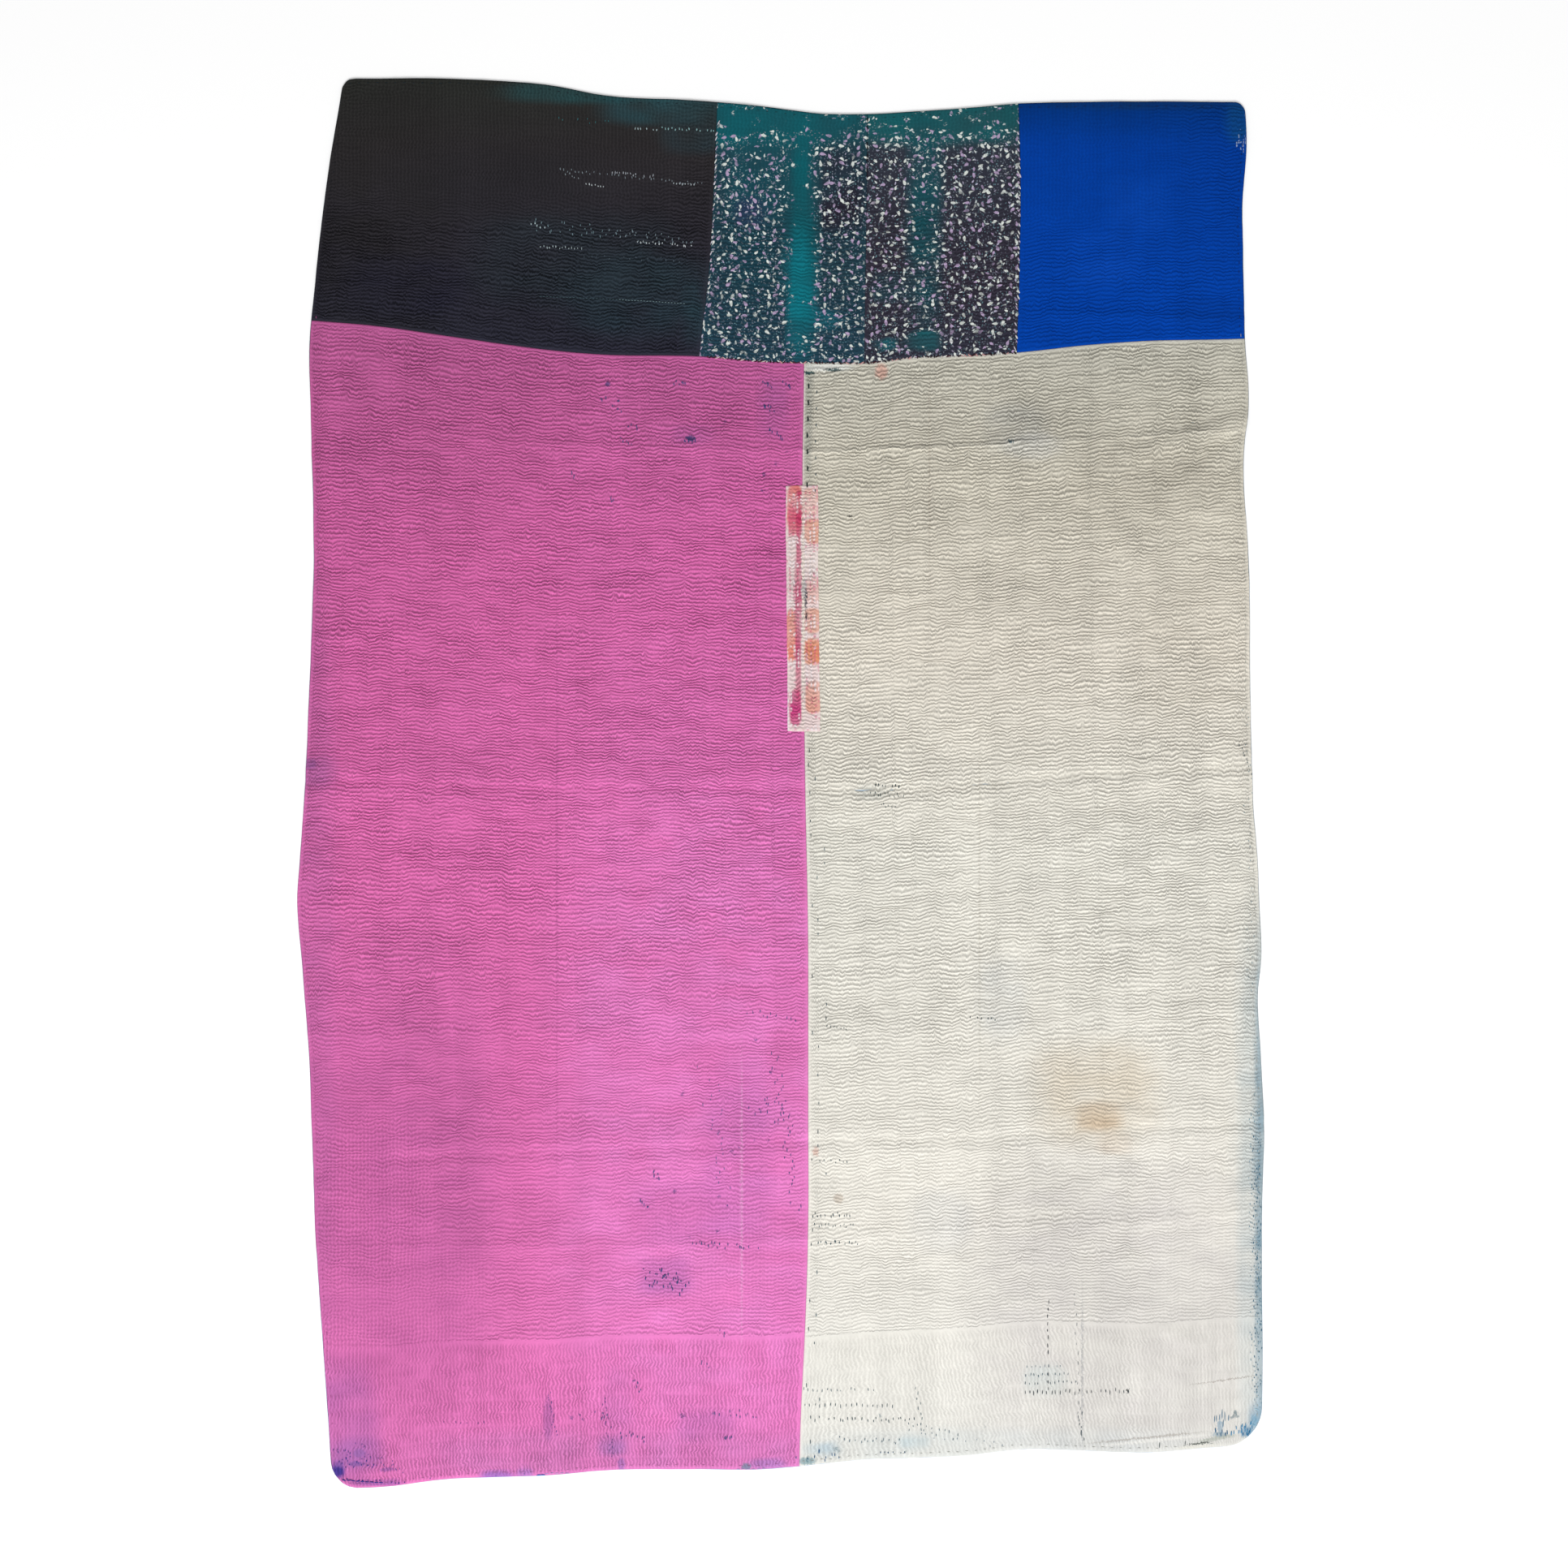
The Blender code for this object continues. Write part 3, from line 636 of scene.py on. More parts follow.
def makeWovenCotton():
    # Threads both ways, thicker and thinner ones among them.
    tree, given, made = newGroup(
        "wovenCotton",
        [("Place", "Vector"), ("Strength", "Float")],
        [("Tone", "Float"), ("Height", "Float")],
    )
    place = given.outputs[0]
    heights = []
    for way in ((1.0, 0.02), (0.02, 1.0)):
        threads = put(tree, "TexWave", {"wave_type": "BANDS", "bands_direction": "X" if way[0] == 1 else "Y"},
                      place, 785.0, 2.0, 2.0, 1.0)
        slubs = noise(tree, stretched(tree, place, way[0] * 900, way[1] * 900), 1.0, 2.0)
        heights.append(maths(tree, "ADD", maths(tree, "MULTIPLY", threads, 0.5), slubs))
    height = maths(tree, "ADD", *heights)
    uneven = maths(tree, "SUBTRACT", height, 1.5)
    tone = maths(tree, "MULTIPLY_ADD", uneven, given.outputs[1], 1.0)
    tree.links.new(tone, made.inputs[0])
    tree.links.new(height, made.inputs[1])
    return tree


def makeRippleShade():
    # Puffed crests with a painted highlight, painted shade in the furrows between them and along each stitch
    # line, and their bump height; the ripples wobble a little and are pulled in at each stitch line.
    tree, given, made = newGroup(
        "rippleShade",
        [("Quilting", "Vector"), ("Relief", "Float"), ("Depth", "Float")],
        [("Tone", "Float"), ("Height", "Float")],
    )
    quiltingPlace, relief, depth = given.outputs[:3]
    lines = put(tree, "SeparateXYZ", {}, quiltingPlace).node.outputs
    wobble = noise(tree, stretched(tree, quiltingPlace, 2.4, 0.34), 1.0, 3.0)
    phase = maths(tree, "MULTIPLY_ADD", wobble, 2.0, lines[1])
    turn = maths(tree, "COSINE", maths(tree, "MULTIPLY", maths(tree, "ADD", phase, -1.00), math.tau))
    low = maths(tree, "MULTIPLY_ADD", turn, 0.5, 0.5)
    uneven = noise(tree, stretched(tree, quiltingPlace, 1.1, 0.8), 1.0, 2.0)
    side = maths(tree, "ABSOLUTE", maths(tree, "SUBTRACT", maths(tree, "FRACT", lines[0]), 0.5))
    line = maths(tree, "MULTIPLY", ramp(tree, side, 0.30, 0.50), ramp(tree, uneven, 0.30, 0.60))
    pinched = maths(tree, "MULTIPLY_ADD", line, -0.60, 1.0)
    # Painted highlight on the crests, painted shade in the furrows and along the stitch lines.
    crownHighlight = maths(tree, "MULTIPLY", maths(tree, "POWER", maths(tree, "SUBTRACT", 1.0, low), 3.0), pinched)
    groove = maths(tree, "MULTIPLY", maths(tree, "POWER", low, 0.95), pinched)
    deep = maths(tree, "MULTIPLY_ADD", uneven, 0.9, 0.58)
    shade = maths(tree, "MULTIPLY", maths(tree, "MULTIPLY", groove, deep), depth)
    shade = maths(tree, "MULTIPLY_ADD", line, 0.07, shade)
    light = maths(tree, "MULTIPLY_ADD", uneven, 0.22, 0.90)
    light = maths(tree, "MULTIPLY_ADD", maths(tree, "MULTIPLY", crownHighlight, relief), 0.13, light)
    shade = maths(tree, "MULTIPLY", shade, relief)
    tree.links.new(maths(tree, "SUBTRACT", light, shade), made.inputs[0])
    drawnIn = maths(tree, "MULTIPLY_ADD", line, 0.40, low)
    tree.links.new(maths(tree, "MULTIPLY", drawnIn, maths(tree, "MULTIPLY", relief, -1.0)), made.inputs[1])
    return tree


def makeWornDashes():
    # Worn stitches: short dashes in some of the cells between stitch lines and ripples.
    tree, given, made = newGroup("wornDashes", [("Quilting", "Vector"), ("Worn", "Float"), ("Seed", "Float")],
                                 [("Mask", "Float")])
    shift3 = put(tree, "CombineXYZ", {}, given.outputs[2], given.outputs[2], 0.0)
    place = put(tree, "VectorMath", {"operation": "ADD"}, given.outputs[0], shift3)
    wobble = noise(tree, place, 1.7, 2.0, colour=True)
    wobble = put(tree, "VectorMath", {"operation": "SUBTRACT"}, wobble, (0.5, 0.5, 0.5))
    place = put(tree, "VectorMath", {"operation": "MULTIPLY_ADD"}, wobble, (0.35, 0.8, 0.0), place)
    cell = put(tree, "VectorMath", {"operation": "FLOOR"}, stretched(tree, place, 2.0, 1.0, 0.0))
    inside = put(tree, "VectorMath", {"operation": "FRACTION"}, stretched(tree, place, 2.0, 1.0, 0.0))
    chance = put(tree, "TexWhiteNoise", {"noise_dimensions": "2D"}, cell)
    across = put(tree, "SeparateXYZ", {}, inside)
    side = maths(tree, "ABSOLUTE", maths(tree, "SUBTRACT", across.node.outputs[0], 0.5))
    lengthWay = maths(tree, "ABSOLUTE", maths(tree, "SUBTRACT", across.node.outputs[1], 0.5))
    narrow = ramp(tree, side, 0.16, 0.34, 1.0, 0.0)
    dash = maths(tree, "MULTIPLY", narrow, ramp(tree, lengthWay, 0.25, 0.5, 1.0, 0.0))
    patch = ramp(tree, noise(tree, stretched(tree, place, 1.0, 0.5), 0.35, 2.0), 0.40, 0.62)
    share = maths(tree, "MULTIPLY", given.outputs[1], patch)
    picked = ramp(tree, maths(tree, "SUBTRACT", share, chance), 0.0, 0.05)
    tree.links.new(maths(tree, "MULTIPLY", dash, picked), made.inputs[0])
    return tree


def makeFrayedPlace():
    # The flat place on the cloth, shaken so that painted spots get frayed outlines.
    tree, given, made = newGroup("frayedPlace", [("Place", "Vector")], [("Place", "Vector")])
    ragged = noise(tree, stretched(tree, given.outputs[0], 620.0, 240.0), 1.0, 3.0, colour=True)
    place = shaken(tree, given.outputs[0], ragged, (0.012, 0.010, 0.0))
    tree.links.new(stretched(tree, place, 1.0, 1.0, 0.0), made.inputs[0])
    return tree


def makeSpot():
    # One small soft-edged spot. Most are worn places and stains; some are lines of painted shade and painted
    # highlight along folds.
    tree, given, made = newGroup(
        "spot",
        [("Place", "Vector"), ("Centre", "Vector"), ("Reach", "Vector"), ("Slope", "Float")],
        [("Mask", "Float")],
    )
    away = put(tree, "VectorMath", {"operation": "SUBTRACT"}, given.outputs[0], given.outputs[1])
    axes = put(tree, "SeparateXYZ", {}, away).node.outputs
    fall = maths(tree, "MULTIPLY", axes[0], given.outputs[3])
    away = put(tree, "CombineXYZ", {}, axes[0], maths(tree, "SUBTRACT", axes[1], fall), 0.0)
    away = put(tree, "VectorMath", {"operation": "MULTIPLY"}, away, given.outputs[2])
    reach = put(tree, "VectorMath", {"operation": "LENGTH"}, away, out=1)
    tree.links.new(ramp(tree, reach, 0.6, 1.25, 1.0, 0.0), made.inputs[0])
    return tree


def makeWornBlobs():
    # Ragged smudges where the cloth has worn thin, closer together where the worn value is high.
    tree, given, made = newGroup("wornBlobs", [("Place", "Vector"), ("Worn", "Float"), ("Density", "Float")],
                                 [("Mask", "Float")])
    place = put(tree, "VectorMath", {"operation": "SCALE"}, given.outputs[0])
    tree.links.new(given.outputs[2], place.node.inputs["Scale"])
    clumps = noise(tree, stretched(tree, place, 1.0, 0.72), 1.0, 2.0)
    wide = noise(tree, stretched(tree, place, 0.2, 0.17), 1.0, 2.0)
    both = maths(tree, "MULTIPLY_ADD", wide, 0.40, maths(tree, "MULTIPLY", clumps, 0.60))
    least = maths(tree, "MULTIPLY_ADD", given.outputs[1], -0.170, 0.715)
    mask = ramp(tree, maths(tree, "SUBTRACT", both, least), 0.0, 0.035)
    upright = noise(tree, stretched(tree, given.outputs[0], 560.0, 120.0), 1.0, 2.0)
    strokes = ramp(tree, upright, 0.40, 0.60, 0.3, 1.0)
    present = ramp(tree, given.outputs[1], 0.02, 0.15)
    tree.links.new(maths(tree, "MULTIPLY", maths(tree, "MULTIPLY", mask, strokes), present), made.inputs[0])
    return tree


def makeTurnedTicks():
    # Fine upright ripples in short strokes, where the relief is too low to model: a bump, with painted shade
    # and painted highlight across the strokes.
    tree, given, made = newGroup("turnedTicks", [("Place", "Vector"), ("Share", "Float")],
                                 [("Tone", "Float"), ("Height", "Float")])
    rows = noise(tree, stretched(tree, given.outputs[0], 8.0, 110.0), 1.0, 1.0, colour=True)
    rows = put(tree, "VectorMath", {"operation": "MULTIPLY_ADD"}, rows, (0.006, 0.0, 0.0), given.outputs[0])
    ticks = put(tree, "TexWave", {"wave_type": "BANDS", "bands_direction": "X"}, rows, 57.0, 0.8, 2.0, 3.0)
    low = maths(tree, "MULTIPLY", maths(tree, "SUBTRACT", ticks, 0.5), given.outputs[1])
    tree.links.new(maths(tree, "MULTIPLY_ADD", low, 0.30, 1.0), made.inputs[0])
    tree.links.new(low, made.inputs[1])
    return tree


def makePetalPrint():
    # Small petals, each turned its own way, one to a cell.
    tree, given, made = newGroup(
        "petalPrint",
        [("Place", "Vector"), ("Density", "Float"), ("Width", "Float"), ("Length", "Float")],
        [("Mask", "Float"), ("Chance", "Float")],
    )
    ragged = noise(tree, given.outputs[0], 260.0, 2.0, colour=True)
    place = shaken(tree, given.outputs[0], ragged, (0.0022, 0.0022, 0.0))
    cells = tree.nodes.new("ShaderNodeTexVoronoi")
    cells.voronoi_dimensions = "2D"
    cells.feature = "F1"
    tree.links.new(place, cells.inputs["Vector"])
    tree.links.new(given.outputs[1], cells.inputs["Scale"])
    cells.inputs["Randomness"].default_value = 0.85
    scaled = put(tree, "VectorMath", {"operation": "SCALE"}, place)
    tree.links.new(given.outputs[1], scaled.node.inputs["Scale"])
    centre = put(tree, "VectorMath", {"operation": "SCALE"}, cells.outputs["Position"])
    tree.links.new(given.outputs[1], centre.node.inputs["Scale"])
    away = put(tree, "VectorMath", {"operation": "SUBTRACT"}, scaled, centre)
    random = put(tree, "SeparateXYZ", {}, cells.outputs["Color"])
    turn = maths(tree, "MULTIPLY", random.node.outputs[0], math.tau)
    turnedPlace = tree.nodes.new("ShaderNodeVectorRotate")
    turnedPlace.rotation_type = "Z_AXIS"
    tree.links.new(away, turnedPlace.inputs["Vector"])
    tree.links.new(turn, turnedPlace.inputs["Angle"])
    axes = put(tree, "SeparateXYZ", {}, turnedPlace.outputs[0]).node.outputs
    size = maths(tree, "MULTIPLY_ADD", random.node.outputs[1], 0.40, 0.72)
    lengthShare = maths(tree, "DIVIDE", axes[0], maths(tree, "MULTIPLY", given.outputs[3], size))
    widthShare = maths(tree, "DIVIDE", axes[1], maths(tree, "MULTIPLY", given.outputs[2], size))
    rounded = maths(tree, "SUBTRACT", 1.0, maths(tree, "MULTIPLY", lengthShare, lengthShare))
    rounded = maths(tree, "POWER", maths(tree, "MAXIMUM", rounded, 0.0), 0.6)
    drop = maths(tree, "MULTIPLY_ADD", lengthShare, 0.45, 1.0)
    rounded = maths(tree, "MULTIPLY", rounded, drop)
    edge = maths(tree, "SUBTRACT", rounded, maths(tree, "ABSOLUTE", widthShare))
    tree.links.new(ramp(tree, edge, 0.0, 0.30), made.inputs[0])
    tree.links.new(random.node.outputs[2], made.inputs[1])
    return tree


groups = {
    "weave": makeWovenCotton(),
    "shade": makeRippleShade(),
    "dashes": makeWornDashes(),
    "frayed": makeFrayedPlace(),
    "spot": makeSpot(),
    "blobs": makeWornBlobs(),
    "ticks": makeTurnedTicks(),
    "petals": makePetalPrint(),
}
print("stage: shader groups made")


def tint(colour):
    return (*hexColour(colour), 1.0)


def clothMaterial(name, look):
    # Dye, print, wear and spots, then the weave, the ripples with painted shade and painted highlight, and
    # their bump.
    material = bpy.data.materials.new(name)
    material.use_nodes = True
    tree = material.node_tree
    tree.nodes.clear()
    shader = tree.nodes.new("ShaderNodeBsdfPrincipled")
    output = tree.nodes.new("ShaderNodeOutputMaterial")
    tree.links.new(shader.outputs[0], output.inputs[0])
    place = put(tree, "TexCoord", {}, out=3)
    sewing = put(tree, "UVMap", {"uv_map": "quilting"})
    # The dye attribute also holds painted highlight and painted shade along the folds.
    dye = put(tree, "Attribute", {"attribute_name": "dye"})
    relief = put(tree, "Attribute", {"attribute_name": "relief"}, out=2)
    worn = put(tree, "Attribute", {"attribute_name": "worn"}, out=2)
    turned = put(tree, "Attribute", {"attribute_name": "turned"}, out=2)
    colour = dye
    if "petals" in look:
        colour = printPetals(tree, colour, place, worn, look["petals"])
    for colourName, seed, strength in look["dashes"]:
        mask = useGroup(tree, groups["dashes"], sewing, worn, float(seed))[0]
        colour = mixColour(tree, maths(tree, "MULTIPLY", mask, strength), colour, tint(colourName))
    frayed = useGroup(tree, groups["frayed"], place)[0]
    for colourName, density, strength in look.get("blobs", ()):
        mask = useGroup(tree, groups["blobs"], frayed, worn, density)[0]
        colour = mixColour(tree, maths(tree, "MULTIPLY", mask, strength), colour, tint(colourName))
    for centreX, centreY, halfX, halfY, spotColour, strength, *slope in look["spots"]:
        centre = (centreX + shift[0], centreY + shift[1], 0.0)
        reach = (1 / halfX, 1 / halfY, 0.0)
        mask = useGroup(tree, groups["spot"], frayed, centre, reach, *slope)[0]
        colour = mixColour(tree, maths(tree, "MULTIPLY", mask, strength), colour, tint(spotColour))
    weave = useGroup(tree, groups["weave"], place, look["slubs"])
    # The ripples' tone: painted shade in their furrows, painted highlight on their crests.
    shade = useGroup(tree, groups["shade"], sewing, relief, look["grooveShade"])
    ticks = useGroup(tree, groups["ticks"], place, turned)
    tone = maths(tree, "MULTIPLY", maths(tree, "MULTIPLY", weave[0], shade[0]), ticks[0])
    colour = put(tree, "VectorMath", {"operation": "SCALE"}, colour, None, None, tone)
    tree.links.new(colour, shader.inputs["Base Color"])
    shader.inputs["Roughness"].default_value = look["roughness"]
    shader.inputs["Specular IOR Level"].default_value = 0.06
    height = maths(tree, "MULTIPLY", weave[1], 0.00006)
    height = maths(tree, "MULTIPLY_ADD", ticks[1], 0.0012, height)
    height = maths(tree, "MULTIPLY_ADD", shade[1], look["puff"], height)
    bump = tree.nodes.new("ShaderNodeBump")
    bump.inputs["Distance"].default_value = 1.0
    bump.inputs["Strength"].default_value = 1.0
    tree.links.new(height, bump.inputs["Height"])
    tree.links.new(bump.outputs[0], shader.inputs["Normal"])
    return material


def printPetals(tree, colour, place, worn, petals):
    # The leaf print's petals in layers, fewer where the cloth has worn.
    patchy = maths(tree, "MULTIPLY_ADD", noise(tree, stretched(tree, place, 40.0, 80.0), 1.0, 3.0), 3.0, -1.5)
    bare = ramp(tree, maths(tree, "MULTIPLY_ADD", worn, 1.0, patchy), 0.35, 0.6, 1.0, 0.0)
    for offset, density, width, length, low, high, present, strength in petals["layers"]:
        moved = put(tree, "VectorMath", {"operation": "ADD"}, place, (offset, offset * 2.7, 0.0))
        petal = useGroup(tree, groups["petals"], moved, density, width, length)
        lilacShare = ramp(tree, petal[1], petals["lilacFrom"], petals["lilacFrom"] + 0.02)
        petalColour = mixColour(tree, lilacShare, tint(low), tint(high))
        faded = ramp(tree, noise(tree, place, 60.0, 2.0), 0.30, 0.55, 0.35, 1.0)
        there = ramp(tree, petal[1], present, present + 0.01, strength, 0.0)
        shape = maths(tree, "MULTIPLY", petal[0], bare)
        mask = maths(tree, "MULTIPLY", shape, maths(tree, "MULTIPLY", faded, there))
        colour = mixColour(tree, mask, colour, petalColour)
    return colour


# The pink cloth: most wear lies near its middle seam.
pinkPanel = {
    "sides": ("leftEdge", "centreSeam"),
    "ends": ("bottomEdge", "topSeam"),
    "edges": {"left": "outer", "right": "seam", "bottom": "outer", "top": "seam"},
    "seed": 101,
    "pitch": quilting["pitch"],
    "quarters": quilting["quarters"],
    "stitchGap": quilting["stitchGap"],
    "turnedHeight": 0.200,
    "turnedSlant": 0.0,
    "turnedRelief": 0.90,
    "relief": 1.0,
    "under": topUnder,
    "face": topFace,
    "edgeDrop": 0.0009,
    "plainEvery": 3,
    "rippledBelow": False,
    # y, dye, darker towards the top: partly painted shade for the light falling off there
    "dyeAndShadeAlong": (
        (-1.05, "EC80C4"), (-0.80, "E87ABC"), (-0.65, "E274B6"), (-0.10, "EC76BA"), (0.35, "E06EB0"),
        (0.66, "C865A0"),
    ),
    # line, from x, to x, painted highlight below, painted shade above
    "foldHighlightAndShade": (
        ("upperFold", -0.46, 0.20, 0.06, 0.14),
        ("middleFold", -0.72, 0.20, 0.05, 0.07),
        ("lowerFold", -0.52, 0.20, 0.04, 0.06),
        ("footCrease", -0.40, 0.20, 0.03, 0.08),
    ),
    "reliefAlong": (
        (-1.0, 0.85), (-0.85, 0.75), (-0.79, 0.58), (-0.60, 0.60), (-0.40, 0.66), (-0.22, 0.9), (0.30, 1.0),
        (0.64, 1.0),
    ),
    # from x, y, to x, y, how much lower, share of turned ticks
    "mitres": ((-0.491, -0.827, -0.5815, -0.960, 0.55, 0.8),),
    # x, y, half width, half height, dye, share
    "dyePatches": (
        (-0.10, -0.45, 0.30, 0.80, "F490D8", 0.60),
        (-0.12, 0.30, 0.30, 0.45, "EC78BE", 0.50),
        (-0.35, 0.00, 0.25, 0.25, "EE7AC0", 0.4),
        (-0.700, -0.30, 0.050, 0.80, "AE68A6", 0.30),
        (-0.650, -0.95, 0.070, 0.12, "A86AB0", 0.55),
        (-0.658, -1.022, 0.014, 0.016, "4C48A4", 0.80),
        (-0.600, -1.040, 0.050, 0.006, "5A50A8", 0.60),
        (-0.625, -0.995, 0.050, 0.030, "9A6CB4", 0.50),
        (-0.550, -0.640, 0.160, 0.330, "B85C9A", 0.30),
        (-0.42, -1.030, 0.034, 0.009, "4E62C4", 0.75),
        (-0.38, -1.026, 0.016, 0.010, "3C7AD0", 0.60),
        (-0.20, -1.00, 0.45, 0.05, "C088C4", 0.30),
        (-0.24, -0.92, 0.030, 0.06, "A46CAC", 0.20),
        (-0.018, -1.012, 0.036, 0.009, "A080C8", 0.70),
        (-0.250, -0.985, 0.030, 0.020, "8E70B4", 0.40),
        (-0.110, -0.955, 0.060, 0.030, "B070B8", 0.35),
        (-0.57, -0.60, 0.20, 0.50, "C465A2", 0.40),
        (-0.10, 0.560, 0.22, 0.10, "8E5888", 0.10),
        (-0.69, 0.02, 0.04, 0.03, "8A6098", 0.30),
        (-0.170, -0.735, 0.050, 0.040, "9A62A8", 0.40),
        (-0.060, -0.560, 0.070, 0.180, "B86AB4", 0.30),
        (-0.150, -0.640, 0.090, 0.060, "B468B0", 0.28),
        (-0.130, 0.520, 0.040, 0.020, "8E5A9A", 0.35),
        (-0.010, 0.560, 0.030, 0.060, "9A5E9E", 0.35),
    ),
    "wornPlaces": (
        (-0.115, 0.550, 0.150, 0.060, 0.55),
        (-0.090, -0.590, 0.130, 0.190, 0.55),
        (-0.140, -0.950, 0.170, 0.070, 0.40),
        (-0.010, 0.500, 0.035, 0.120, 0.50),
        (-0.330, -0.970, 0.100, 0.060, 0.35),
        (-0.640, -1.005, 0.060, 0.035, 0.30),
        (-0.035, -0.420, 0.050, 0.080, 0.35),
    ),
    # x, y, half width, half height, share, share of turned ticks
    "flatPlaces": (
        (0.032, 0.261, 0.026, 0.190, 0.85, 0.0),
        (-0.600, -0.640, 0.120, 0.200, 0.25, 0.7),
        (-0.500, -0.760, 0.090, 0.110, 0.30, 0.5),
        (-0.100, -0.700, 0.160, 0.120, 0.20, 0.3),
    ),
}
pinkLook = {
    "dashes": (),
    "blobs": (("45477E", 92.0, 0.85),),
    # x, y, half width, half height, dye, strength
    "spots": (
        (-0.133, 0.514, 0.0060, 0.0050, "3C4474", 0.9),
        (-0.257, 0.595, 0.0040, 0.0035, "4A4A80", 0.8),
        # A thin line down the lengthwise fold: painted shade.
        (-0.332, -0.100, 0.0014, 0.520, "A04C84", 0.28),
        (-0.057, -0.617, 0.0018, 0.235, "F6B4E2", 0.45),
        (-0.700, 0.030, 0.0120, 0.0080, "5A4E8C", 0.35),
        (-0.658, -1.024, 0.0090, 0.0080, "38348E", 0.8),
        (-0.050, -1.0160, 0.0080, 0.0050, "3E8898", 0.7),
        (-0.236, -1.0130, 0.0060, 0.0110, "7866B0", 0.5),
        (-0.632, -1.012, 0.0130, 0.0040, "5E54A0", 0.5),
        (-0.626, -0.996, 0.0100, 0.0070, "7A64AC", 0.4),
        (-0.585, -1.020, 0.0120, 0.0030, "5A50A0", 0.5),
        (-0.345, -0.945, 0.0080, 0.0330, "6A5296", 0.35),
    ),
    "grooveShade": 0.46,
    "puff": 0.0009,
    "slubs": 0.10,
    "roughness": 0.92,
}

# The cream cloth, with blue ground showing through where it has worn.
creamPanel = {
    "sides": ("centreSeam", "rightEdge"),
    "ends": ("bottomEdge", "topSeam"),
    "edges": {"left": "hem", "right": "outer", "bottom": "outer", "top": "seam"},
    # edge, from, to, dye, share, fades in from y, to y
    "edgeBands": (
        ("left", 0.0, 0.0012, "F4E6E2", 0.75, -2.0, -1.9),
        ("left", 0.0028, 0.0120, "A4A8A0", 0.40, 0.42, 0.50),
        ("top", 0.0, 0.0024, "EFEDE6", 0.55, -2.0, -1.9),
    ),
    "seed": 202,
    "pitch": quilting["pitch"],
    "quarters": quilting["quarters"],
    "stitchGap": quilting["stitchGap"],
    "turnedHeight": 0.188,
    "turnedSlant": 0.25,
    "turnedRelief": 0.70,
    "relief": 1.05,
    "under": topUnder,
    "face": topFace,
    "edgeDrop": 0.0006,
    "plainEvery": 3,
    "rippledBelow": False,
    # Darker towards the top, partly painted shade for the light falling off there.
    "dyeAndShadeAlong": (
        (-1.05, "E6E5DF"), (-0.65, "F0ECE2"), (-0.10, "F1EEE3"), (0.20, "EFE8DA"), (0.45, "DFD9C9"),
        (0.66, "D3D0C2"),
    ),
    # Painted highlight below and painted shade above each fold line.
    "foldHighlightAndShade": (
        ("upperFold", -0.02, 0.40, 0.20, 0.34),
        ("middleFold", -0.10, 0.70, 0.05, 0.10),
        ("lowerFold", -0.10, 0.70, 0.04, 0.08),
        ("highCrease", 0.10, 0.60, 0.04, 0.10),
    ),
    "reliefAlong": (
        (-1.0, 0.6), (-0.82, 0.55), (-0.70, 0.62), (-0.45, 0.7), (-0.30, 0.9), (0.30, 1.05), (0.64, 1.2),
    ),
    "dyePatches": (
        (0.50, -0.80, 0.28, 0.34, "D3CECC", 0.55),
        (0.705, -0.60, 0.034, 0.50, "BCC9CC", 0.55),
        (0.717, -0.62, 0.014, 0.50, "7B9DAF", 0.75),
        (0.712, -0.95, 0.020, 0.040, "76A4C0", 0.50),
        (0.35, -0.99, 0.40, 0.04, "CBD8DC", 0.30),
        (0.395, -0.888, 0.042, 0.030, "C2D0D0", 0.45),
        (0.540, 0.440, 0.140, 0.090, "C9C2B2", 0.35),
        (0.600, 0.200, 0.100, 0.140, "D8D0C0", 0.30),
        (0.200, -0.980, 0.030, 0.014, "A8C8D4", 0.50),
        (0.060, -0.990, 0.040, 0.012, "A8C4D4", 0.50),
        (0.470, -0.460, 0.120, 0.100, "DFCDB0", 0.45),
        (0.475, -0.495, 0.044, 0.030, "C4A47E", 0.45),
        (0.500, -0.535, 0.034, 0.022, "CFB498", 0.40),
        (0.140, -0.012, 0.034, 0.016, "B4B8B2", 0.40),
        (0.35, 0.53, 0.06, 0.05, "A8AAA8", 0.4),
        (0.33, -0.32, 0.05, 0.08, "CDD2D6", 0.25),
        (0.24, -0.65, 0.06, 0.06, "D4D6D8", 0.3),
    ),
    "wornPlaces": (
        (0.158, -0.015, 0.050, 0.030, 0.45),
        (0.080, -0.650, 0.060, 0.090, 0.45),
        (0.120, -0.930, 0.100, 0.060, 0.50),
        (0.300, -0.350, 0.040, 0.015, 0.50),
        (0.400, -0.880, 0.080, 0.040, 0.45),
        (0.250, -0.970, 0.120, 0.040, 0.40),
        (0.060, -0.990, 0.050, 0.035, 0.60),
        (0.690, 0.030, 0.030, 0.030, 0.50),
        (0.690, -0.955, 0.034, 0.050, 0.75),
        (0.712, -0.640, 0.014, 0.330, 0.60),
    ),
    "flatPlaces": (
        (0.036, 0.261, 0.026, 0.190, 0.85, 0.0),
        (0.640, -0.720, 0.130, 0.170, 0.30, 0.1),
        (0.620, -0.900, 0.120, 0.100, 0.45, 0.3),
    ),
}
